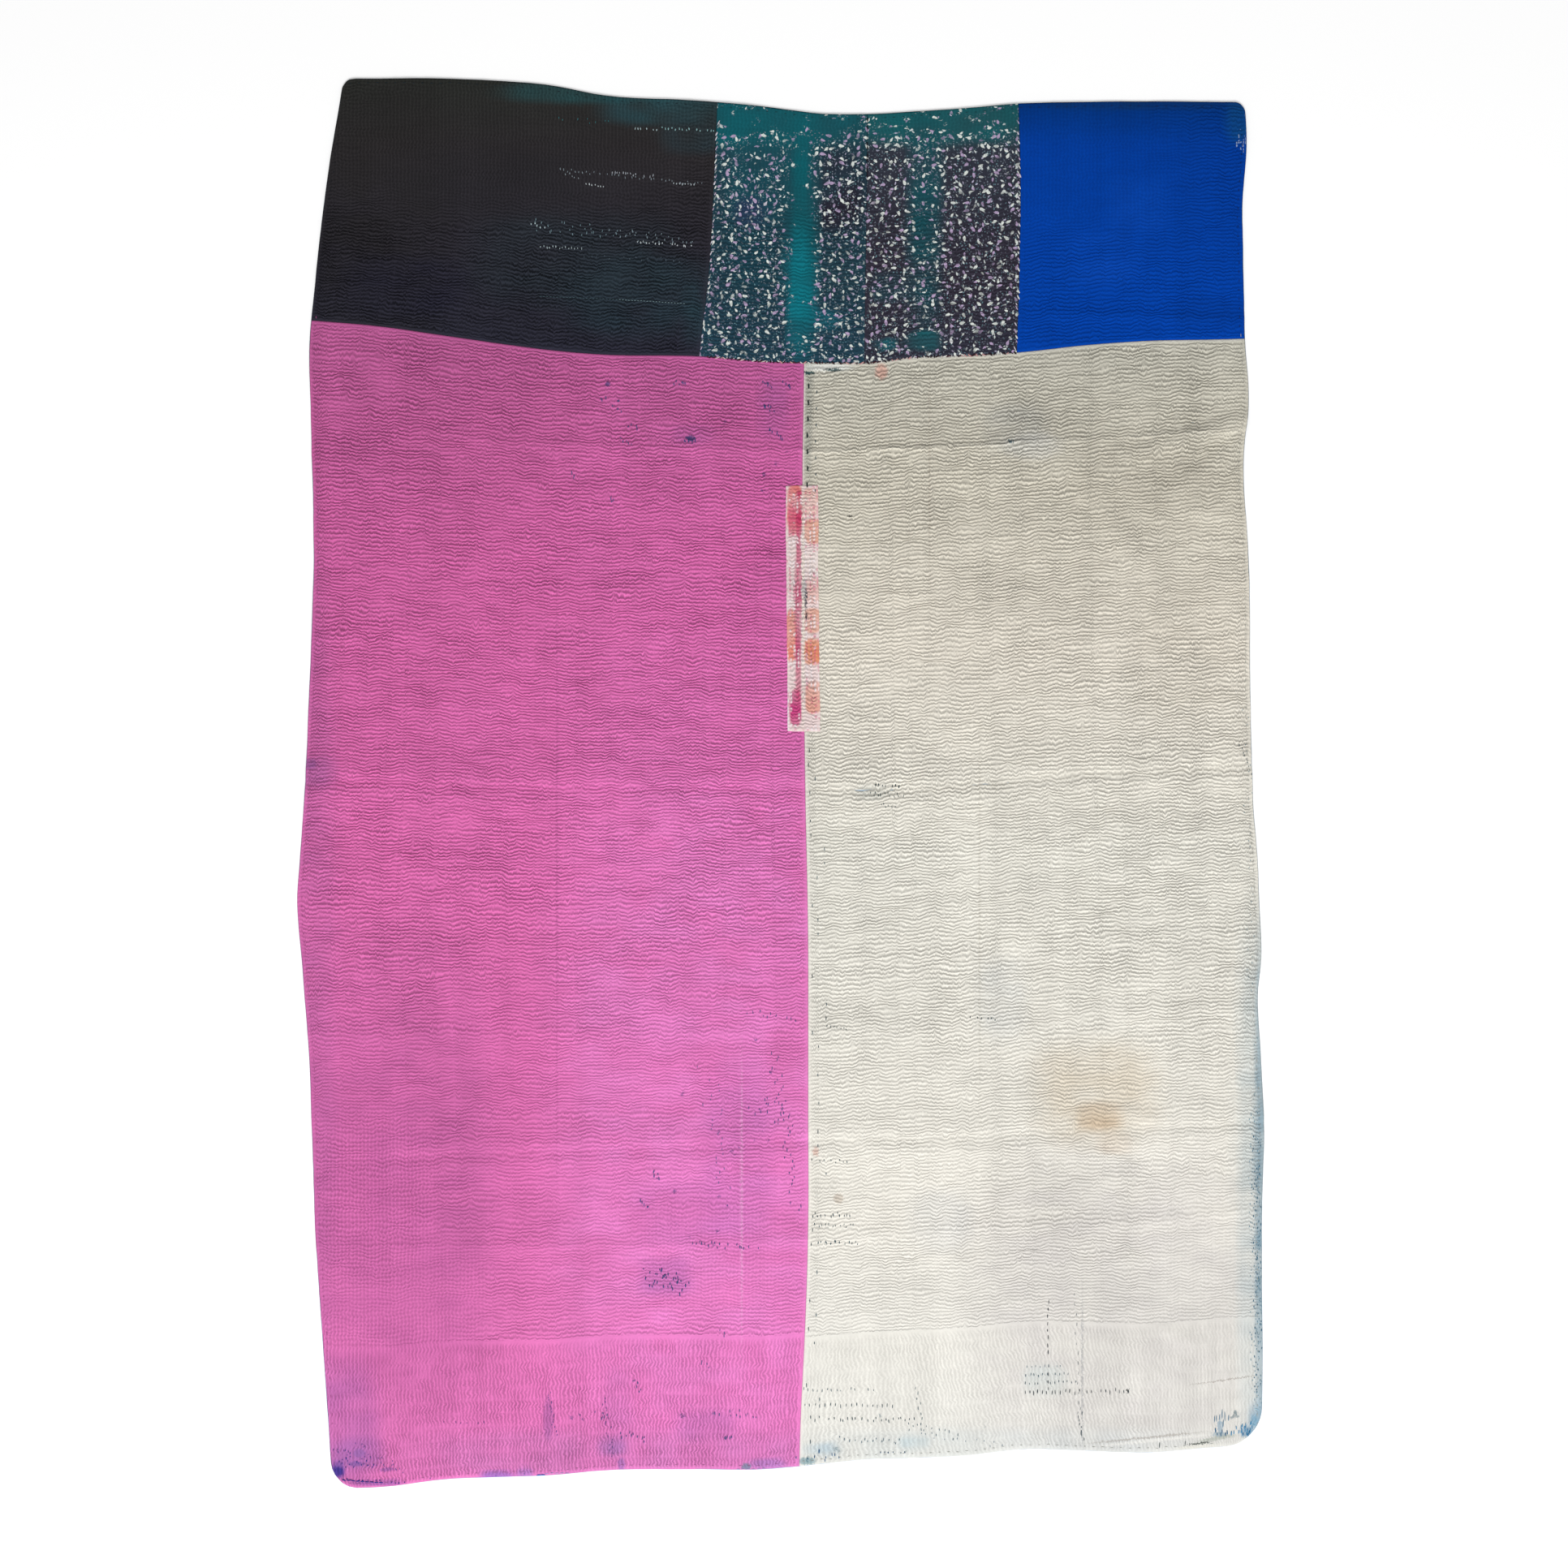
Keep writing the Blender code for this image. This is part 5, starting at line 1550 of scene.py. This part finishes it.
# Threads that show where the cloth has worn, each lying up the cloth.
wornThreads = {
    # from x, y, to x, y, threads, spread, half length, thread radius, dye
    "charcoal": (
        (-0.326, 0.914, -0.117, 0.893, 40, 0.004, 0.0018, 0.0007, "8E9AA2"),
        (-0.250, 0.910, -0.190, 0.905, 16, 0.003, 0.0020, 0.0009, "A8AEB6"),
        (-0.318, 0.910, -0.300, 0.900, 5, 0.006, 0.0016, 0.0007, "9AA6AC"),
        (-0.288, 0.893, -0.262, 0.889, 7, 0.002, 0.0017, 0.0009, "CCD4D8"),
        (-0.158, 0.894, -0.128, 0.892, 8, 0.002, 0.0017, 0.0009, "B6C0C6"),
        (-0.216, 0.976, -0.184, 0.974, 8, 0.002, 0.0018, 0.0009, "B6CCD0"),
        (-0.176, 0.976, -0.098, 0.972, 16, 0.003, 0.0020, 0.0009, "9AC4C6"),
        (-0.330, 0.990, -0.240, 0.984, 14, 0.006, 0.0016, 0.0006, "3E7C82"),
        (-0.368, 0.832, -0.240, 0.822, 34, 0.018, 0.0020, 0.0007, "7E98A2"),
        (-0.372, 0.836, -0.352, 0.826, 6, 0.008, 0.0024, 0.0009, "C4DADE"),
        (-0.356, 0.800, -0.296, 0.797, 14, 0.003, 0.0018, 0.0008, "B4C4C8"),
        (-0.250, 0.820, -0.130, 0.806, 34, 0.018, 0.0018, 0.0007, "8A9CA6"),
        (-0.216, 0.808, -0.176, 0.804, 10, 0.003, 0.0018, 0.0009, "C8D2D6"),
        (-0.160, 0.804, -0.132, 0.800, 8, 0.003, 0.0016, 0.0009, "D0D6DA"),
        (-0.290, 0.786, -0.150, 0.780, 16, 0.006, 0.0016, 0.0006, "5E6C78"),
    ),
    "cream": (
        (0.036, -0.925, 0.168, -0.925, 18, 0.004, 0.0030, 0.0006, "3A5560"),
        (0.364, -0.907, 0.519, -0.902, 24, 0.005, 0.0034, 0.0007, "3A4650"),
        (0.399, -0.770, 0.399, -0.900, 13, 0.002, 0.0030, 0.0007, "454B52"),
        (0.368, -0.868, 0.418, -0.866, 9, 0.003, 0.0022, 0.0005, "6C8290"),
        (0.366, -0.880, 0.436, -0.878, 12, 0.004, 0.0022, 0.0006, "5A7280"),
        (0.366, -0.892, 0.440, -0.890, 13, 0.004, 0.0024, 0.0006, "4E6470"),
        (0.028, -1.000, 0.088, -1.000, 12, 0.014, 0.0030, 0.0007, "3A6A94"),
        (0.150, -0.994, 0.192, -0.995, 8, 0.002, 0.0014, 0.0009, "3C5C7C"),
        (0.642, -0.938, 0.664, -0.946, 9, 0.016, 0.0070, 0.0006, "3C7A9C"),
        (0.648, -0.962, 0.668, -0.968, 12, 0.010, 0.0030, 0.0008, "2A6C94"),
        (0.676, -0.962, 0.704, -0.958, 20, 0.016, 0.0034, 0.0008, "4A98C4"),
        (0.690, -0.972, 0.706, -0.962, 10, 0.010, 0.0030, 0.0008, "2E78A8"),
        (0.707, -0.480, 0.709, -0.930, 210, 0.019, 0.0016, 0.0005, "6E98AC"),
        (0.710, -0.520, 0.711, -0.910, 90, 0.013, 0.0018, 0.0007, "45748E"),
        (0.694, 0.120, 0.706, -0.480, 60, 0.014, 0.0016, 0.0005, "8CA6B0"),
        (0.565, -0.984, 0.566, -0.984, 1, 0.0, 0.0042, 0.0007, "3A4A50"),
        (0.603, -0.981, 0.604, -0.981, 1, 0.0, 0.0042, 0.0007, "3A4A50"),
        (0.440, -0.760, 0.446, -0.980, 16, 0.004, 0.0030, 0.0005, "7C8488"),
        (0.446, -0.930, 0.452, -0.975, 9, 0.008, 0.0026, 0.0006, "56666E"),
        (0.210, -0.970, 0.330, -0.985, 14, 0.010, 0.0016, 0.0005, "6A8498"),
        (0.685, 0.058, 0.700, 0.015, 9, 0.006, 0.0018, 0.0006, "50646C"),
        (0.048, -0.641, 0.104, -0.641, 13, 0.006, 0.0022, 0.0007, "3E5660"),
        (0.052, -0.657, 0.110, -0.657, 12, 0.005, 0.0020, 0.0006, "50666E"),
        (0.058, -0.682, 0.116, -0.682, 14, 0.006, 0.0022, 0.0007, "44606A"),
        (0.036, -0.902, 0.140, -0.900, 16, 0.005, 0.0022, 0.0006, "56707C"),
        (0.046, -0.945, 0.200, -0.946, 26, 0.006, 0.0024, 0.0007, "3A5560"),
        (0.090, -0.975, 0.180, -0.978, 16, 0.008, 0.0022, 0.0006, "4E7084"),
        (0.190, -0.955, 0.262, -0.972, 16, 0.012, 0.0022, 0.0006, "54707E"),
        (0.200, -0.900, 0.215, -0.960, 9, 0.008, 0.0024, 0.0006, "607882"),
        (0.138, 0.000, 0.176, -0.004, 9, 0.003, 0.0024, 0.0008, "34484E"),
        (0.134, -0.014, 0.182, -0.018, 12, 0.006, 0.0020, 0.0006, "4A5C60"),
        (0.146, -0.030, 0.170, -0.034, 7, 0.006, 0.0018, 0.0006, "5C6C70"),
        (0.272, -0.345, 0.320, -0.350, 10, 0.003, 0.0020, 0.0007, "3C4E54"),
        (0.070, -0.360, 0.100, -0.364, 7, 0.003, 0.0018, 0.0006, "506268"),
        (0.060, -0.560, 0.100, -0.562, 8, 0.004, 0.0018, 0.0006, "5A6C74"),
    ),
    "pink": (
        (-0.268, 0.572, -0.238, 0.570, 8, 0.008, 0.0024, 0.0008, "555B92"),
        (-0.156, 0.598, -0.140, 0.594, 7, 0.008, 0.0022, 0.0008, "555B92"),
        (-0.250, 0.562, -0.232, 0.556, 6, 0.007, 0.0020, 0.0007, "62669A"),
        (-0.226, 0.534, -0.212, 0.530, 6, 0.006, 0.0022, 0.0008, "555B92"),
        (-0.236, 0.512, -0.222, 0.508, 5, 0.006, 0.0020, 0.0007, "62669A"),
        (-0.142, 0.514, -0.124, 0.510, 12, 0.008, 0.0024, 0.0009, "484E86"),
        (-0.024, 0.600, -0.010, 0.592, 8, 0.009, 0.0024, 0.0008, "4E548C"),
        (0.006, 0.596, 0.016, 0.590, 6, 0.008, 0.0022, 0.0008, "4E548C"),
        (-0.024, 0.566, -0.010, 0.556, 8, 0.010, 0.0024, 0.0008, "4E548C"),
        (-0.014, 0.528, 0.000, 0.512, 10, 0.012, 0.0024, 0.0008, "4E548C"),
        (-0.312, 0.464, -0.306, 0.456, 4, 0.006, 0.0020, 0.0007, "6A6AA0"),
        (-0.254, 0.428, -0.248, 0.420, 4, 0.006, 0.0020, 0.0007, "6A6AA0"),
        (-0.190, -0.576, -0.180, -0.588, 8, 0.012, 0.0026, 0.0008, "585E98"),
        (-0.206, -0.620, -0.196, -0.630, 7, 0.010, 0.0024, 0.0008, "585E98"),
        (-0.130, -0.684, -0.034, -0.690, 22, 0.008, 0.0024, 0.0008, "555C96"),
        (-0.206, -0.735, -0.140, -0.752, 30, 0.028, 0.0026, 0.0009, "505890"),
        (-0.180, -0.726, -0.150, -0.736, 14, 0.012, 0.0026, 0.0009, "4A528C"),
        (-0.090, -0.812, -0.080, -0.822, 6, 0.010, 0.0022, 0.0007, "5E6298"),
        (-0.118, -0.858, -0.108, -0.868, 6, 0.010, 0.0022, 0.0007, "5E6298"),
        (-0.220, -0.890, -0.208, -0.900, 8, 0.012, 0.0024, 0.0008, "505890"),
        (-0.240, -0.968, -0.196, -0.974, 14, 0.012, 0.0024, 0.0008, "505890"),
        (-0.084, -0.968, -0.074, -0.976, 8, 0.012, 0.0024, 0.0008, "555C96"),
        (-0.272, -0.936, -0.258, -0.944, 8, 0.012, 0.0022, 0.0008, "5E6298"),
        (-0.100, -0.934, -0.030, -0.940, 16, 0.010, 0.0022, 0.0007, "5E6298"),
        (-0.050, -0.340, 0.020, -0.350, 12, 0.012, 0.0022, 0.0007, "62669A"),
        (-0.040, -0.480, 0.024, -0.500, 22, 0.040, 0.0024, 0.0007, "585E98"),
        (-0.010, -0.400, 0.026, -0.640, 44, 0.018, 0.0026, 0.0007, "5E6298"),
        (-0.110, -0.420, -0.080, -0.600, 26, 0.030, 0.0022, 0.0006, "7270A6"),
        (-0.345, -0.905, -0.335, -0.968, 18, 0.008, 0.0020, 0.0006, "5E4C90"),
        (-0.262, -0.915, -0.250, -1.005, 22, 0.012, 0.0020, 0.0006, "564A88"),
        (-0.500, -0.950, -0.440, -0.950, 8, 0.003, 0.0018, 0.0006, "5A4684"),
        (-0.668, -0.990, -0.610, -0.992, 20, 0.020, 0.0016, 0.0006, "5C4C98"),
        (-0.656, -1.010, -0.600, -1.012, 24, 0.014, 0.0016, 0.0007, "4E449C"),
        (-0.600, -1.004, -0.560, -1.020, 12, 0.014, 0.0014, 0.0006, "6E5CA4"),
        (-0.650, -1.035, -0.560, -1.040, 16, 0.004, 0.0012, 0.0010, "37358E"),
        (-0.520, -1.035, -0.380, -1.028, 14, 0.003, 0.0012, 0.0008, "5A62C0"),
    ),
}
# Threads and hard little folds laid end to end.
threadLines = {
    # from x, y, to x, y, threads, share of the gap, unevenness, radius, dye
    "charcoal": (
        (-0.358, 0.726, -0.240, 0.721, 24, 0.7, 0.0004, 0.0005, "4E666E"),
        (-0.240, 0.721, -0.140, 0.715, 22, 0.7, 0.0004, 0.0006, "7C949A"),
    ),
    "cream": (
        (0.706, -0.930, 0.724, -0.936, 3, 1.2, 0.0010, 0.0006, "B4DCEE"),
        (0.708, -0.940, 0.728, -0.942, 3, 1.2, 0.0010, 0.0006, "9CD0EA"),
        (0.702, -0.952, 0.716, -0.960, 3, 1.2, 0.0010, 0.0006, "8CC6E4"),
    ),
    "pink": (
        (-0.505, -1.036, -0.400, -1.031, 12, 1.1, 0.0006, 0.0008, "8C96DC"),
        (-0.400, -1.034, -0.350, -1.028, 8, 1.1, 0.0008, 0.0011, "4E7CD4"),
        (-0.350, -1.026, -0.020, -1.019, 44, 0.8, 0.0006, 0.0006, "B4A8DC"),
        (-0.652, -1.036, -0.590, -1.040, 9, 0.9, 0.0008, 0.0009, "48409A"),
    ),
}


def wornRows(rng, cloth):
    # Short thread ends strewn along the rows of the table.
    stitches = []
    for x0, y0, x1, y1, count, spread, half, radius, dye in wornThreads[cloth]:
        upright = abs(y1 - y0) > abs(x1 - x0)
        for share in np.linspace(0, 1, count):
            side, length = rng.uniform(-0.5, 0.5) * spread, half * rng.uniform(0.6, 1.2)
            x = x0 + (x1 - x0) * share + (side if upright else rng.uniform(-0.3, 0.3) * spread)
            y = y0 + (y1 - y0) * share + (rng.uniform(-0.001, 0.001) if upright else side)
            lean = rng.uniform(-0.0008, 0.0008)
            if count < 3 or rng.random() < 0.85:
                stitches.append((x, y - length, x + lean, y + length, radius * rng.uniform(0.8, 1.2), dye))
    return stitches


def laidLines(rng, cloth):
    # Running threads laid end to end along the table's lines.
    stitches = []
    for x0, y0, x1, y1, count, share, uneven, radius, dye in threadLines[cloth]:
        for i in range(count):
            low, high = i / count, (i + share) / count
            first, last = rng.uniform(-uneven, uneven, 2)
            stitches.append((x0 + (x1 - x0) * low, y0 + (y1 - y0) * low + first,
                             x0 + (x1 - x0) * high, y0 + (y1 - y0) * high + last, radius, dye))
    return stitches


def edgeStitches(rng):
    # Tonal running stitches that hold the outer hem.
    stitches = []
    inset = 0.0075
    for name, way, pieces in (("leftEdge", 1, ((0.70, "1E2028"), (-2, "B8609C"))),
                              ("rightEdge", -1, ((0.67, "0A2C66"), (-2, "B9BAB2")))):
        for y in np.arange(0.965, -0.960, -0.0135):
            x = float(sideAt(name, y)) + way * (inset + rng.uniform(-0.0008, 0.0008))
            dye = next(colour for low, colour in pieces if y > low)
            half = rng.uniform(0.0016, 0.0026)
            stitches.append((x, y + half, x, y - half, 0.0005, dye))
    for name, way, pieces in (("bottomEdge", 1, ((0.03, "C078AC"), (2, "BDBFB8"))),
                              ("topEdge", -1, ((-0.10, "1E2C34"), (0.35, "1A444C"), (2, "0A2C66")))):
        for x in np.arange(-0.640, 0.650, 0.0135):
            y = float(endAt(name, x)) + way * (inset + rng.uniform(-0.0008, 0.0008))
            dye = next(colour for high, colour in pieces if x < high)
            half = rng.uniform(0.0016, 0.0026)
            stitches.append((x - half, y, x + half, y, 0.0005, dye))
    return stitches


panelTrees = clothBelow([name for name in sewn if name != "underClothSheet"])
stitchPiece("seamOvercast", seamOvercast(np.random.default_rng(51)), panelTrees)
stitchPiece("creamHemDashes", hemDashes(np.random.default_rng(52)), panelTrees)
stitchPiece("sideOvercast", sideOvercast(np.random.default_rng(54)), panelTrees)
for cloth, seed in (("charcoal", 55), ("cream", 56), ("pink", 57)):
    rows = wornRows(np.random.default_rng(seed), cloth)
    lines = laidLines(np.random.default_rng(seed + 10), cloth)
    stitchPiece(cloth + "WornThreads", rows + lines, panelTrees)
stitchPiece("outerHemStitches", edgeStitches(np.random.default_rng(53)), panelTrees)

# Floor, light and camera.
studio = {"floorTone": 0.93, "floorGlow": 0.22,
          "cameraHeight": 4.0, "cameraOver": (0.006, 0.0), "pictureWidth": 2.336,
          "keyPlace": (0.0, -5.0, 5.5), "keySize": 3.0, "keyPower": 400.0, "fill": 0.45}
bpy.ops.object.select_all(action="DESELECT")
bpy.ops.mesh.primitive_plane_add(size=60, location=(0, 0, -0.0004))
floor = bpy.context.object
floor.name = "floor"
floorMaterial = bpy.data.materials.new("paleFloor")
floorMaterial.use_nodes = True
floorShader = floorMaterial.node_tree.nodes["Principled BSDF"]
floorShader.inputs["Base Color"].default_value = (studio["floorTone"],) * 3 + (1,)
floorShader.inputs["Roughness"].default_value = 0.9
floorShader.inputs["Emission Color"].default_value = (1, 1, 1, 1)
floorShader.inputs["Emission Strength"].default_value = studio["floorGlow"]
floor.data.materials.append(floorMaterial)

world = bpy.data.worlds.new("softFill")
world.use_nodes = True
world.node_tree.nodes["Background"].inputs[0].default_value = (1, 1, 1, 1)
world.node_tree.nodes["Background"].inputs[1].default_value = studio["fill"]
bpy.context.scene.world = world

keyLight = bpy.data.lights.new("keyLight", "AREA")
keyLight.size = studio["keySize"]
keyLight.energy = studio["keyPower"]
key = bpy.data.objects.new("keyLight", keyLight)
key.location = studio["keyPlace"]
key.rotation_euler = (-Vector(studio["keyPlace"])).to_track_quat("-Z", "Y").to_euler()
bpy.context.scene.collection.objects.link(key)

lens = bpy.data.cameras.new("camera")
lens.sensor_width = 36
lens.lens = lens.sensor_width * studio["cameraHeight"] / studio["pictureWidth"]
camera = bpy.data.objects.new("camera", lens)
overX, overY = studio["cameraOver"]
camera.location = (overX + shift[0], overY + shift[1], studio["cameraHeight"])
bpy.context.scene.collection.objects.link(camera)
bpy.context.scene.camera = camera
bpy.context.scene.view_settings.view_transform = "Standard"
print("stage: studio made")
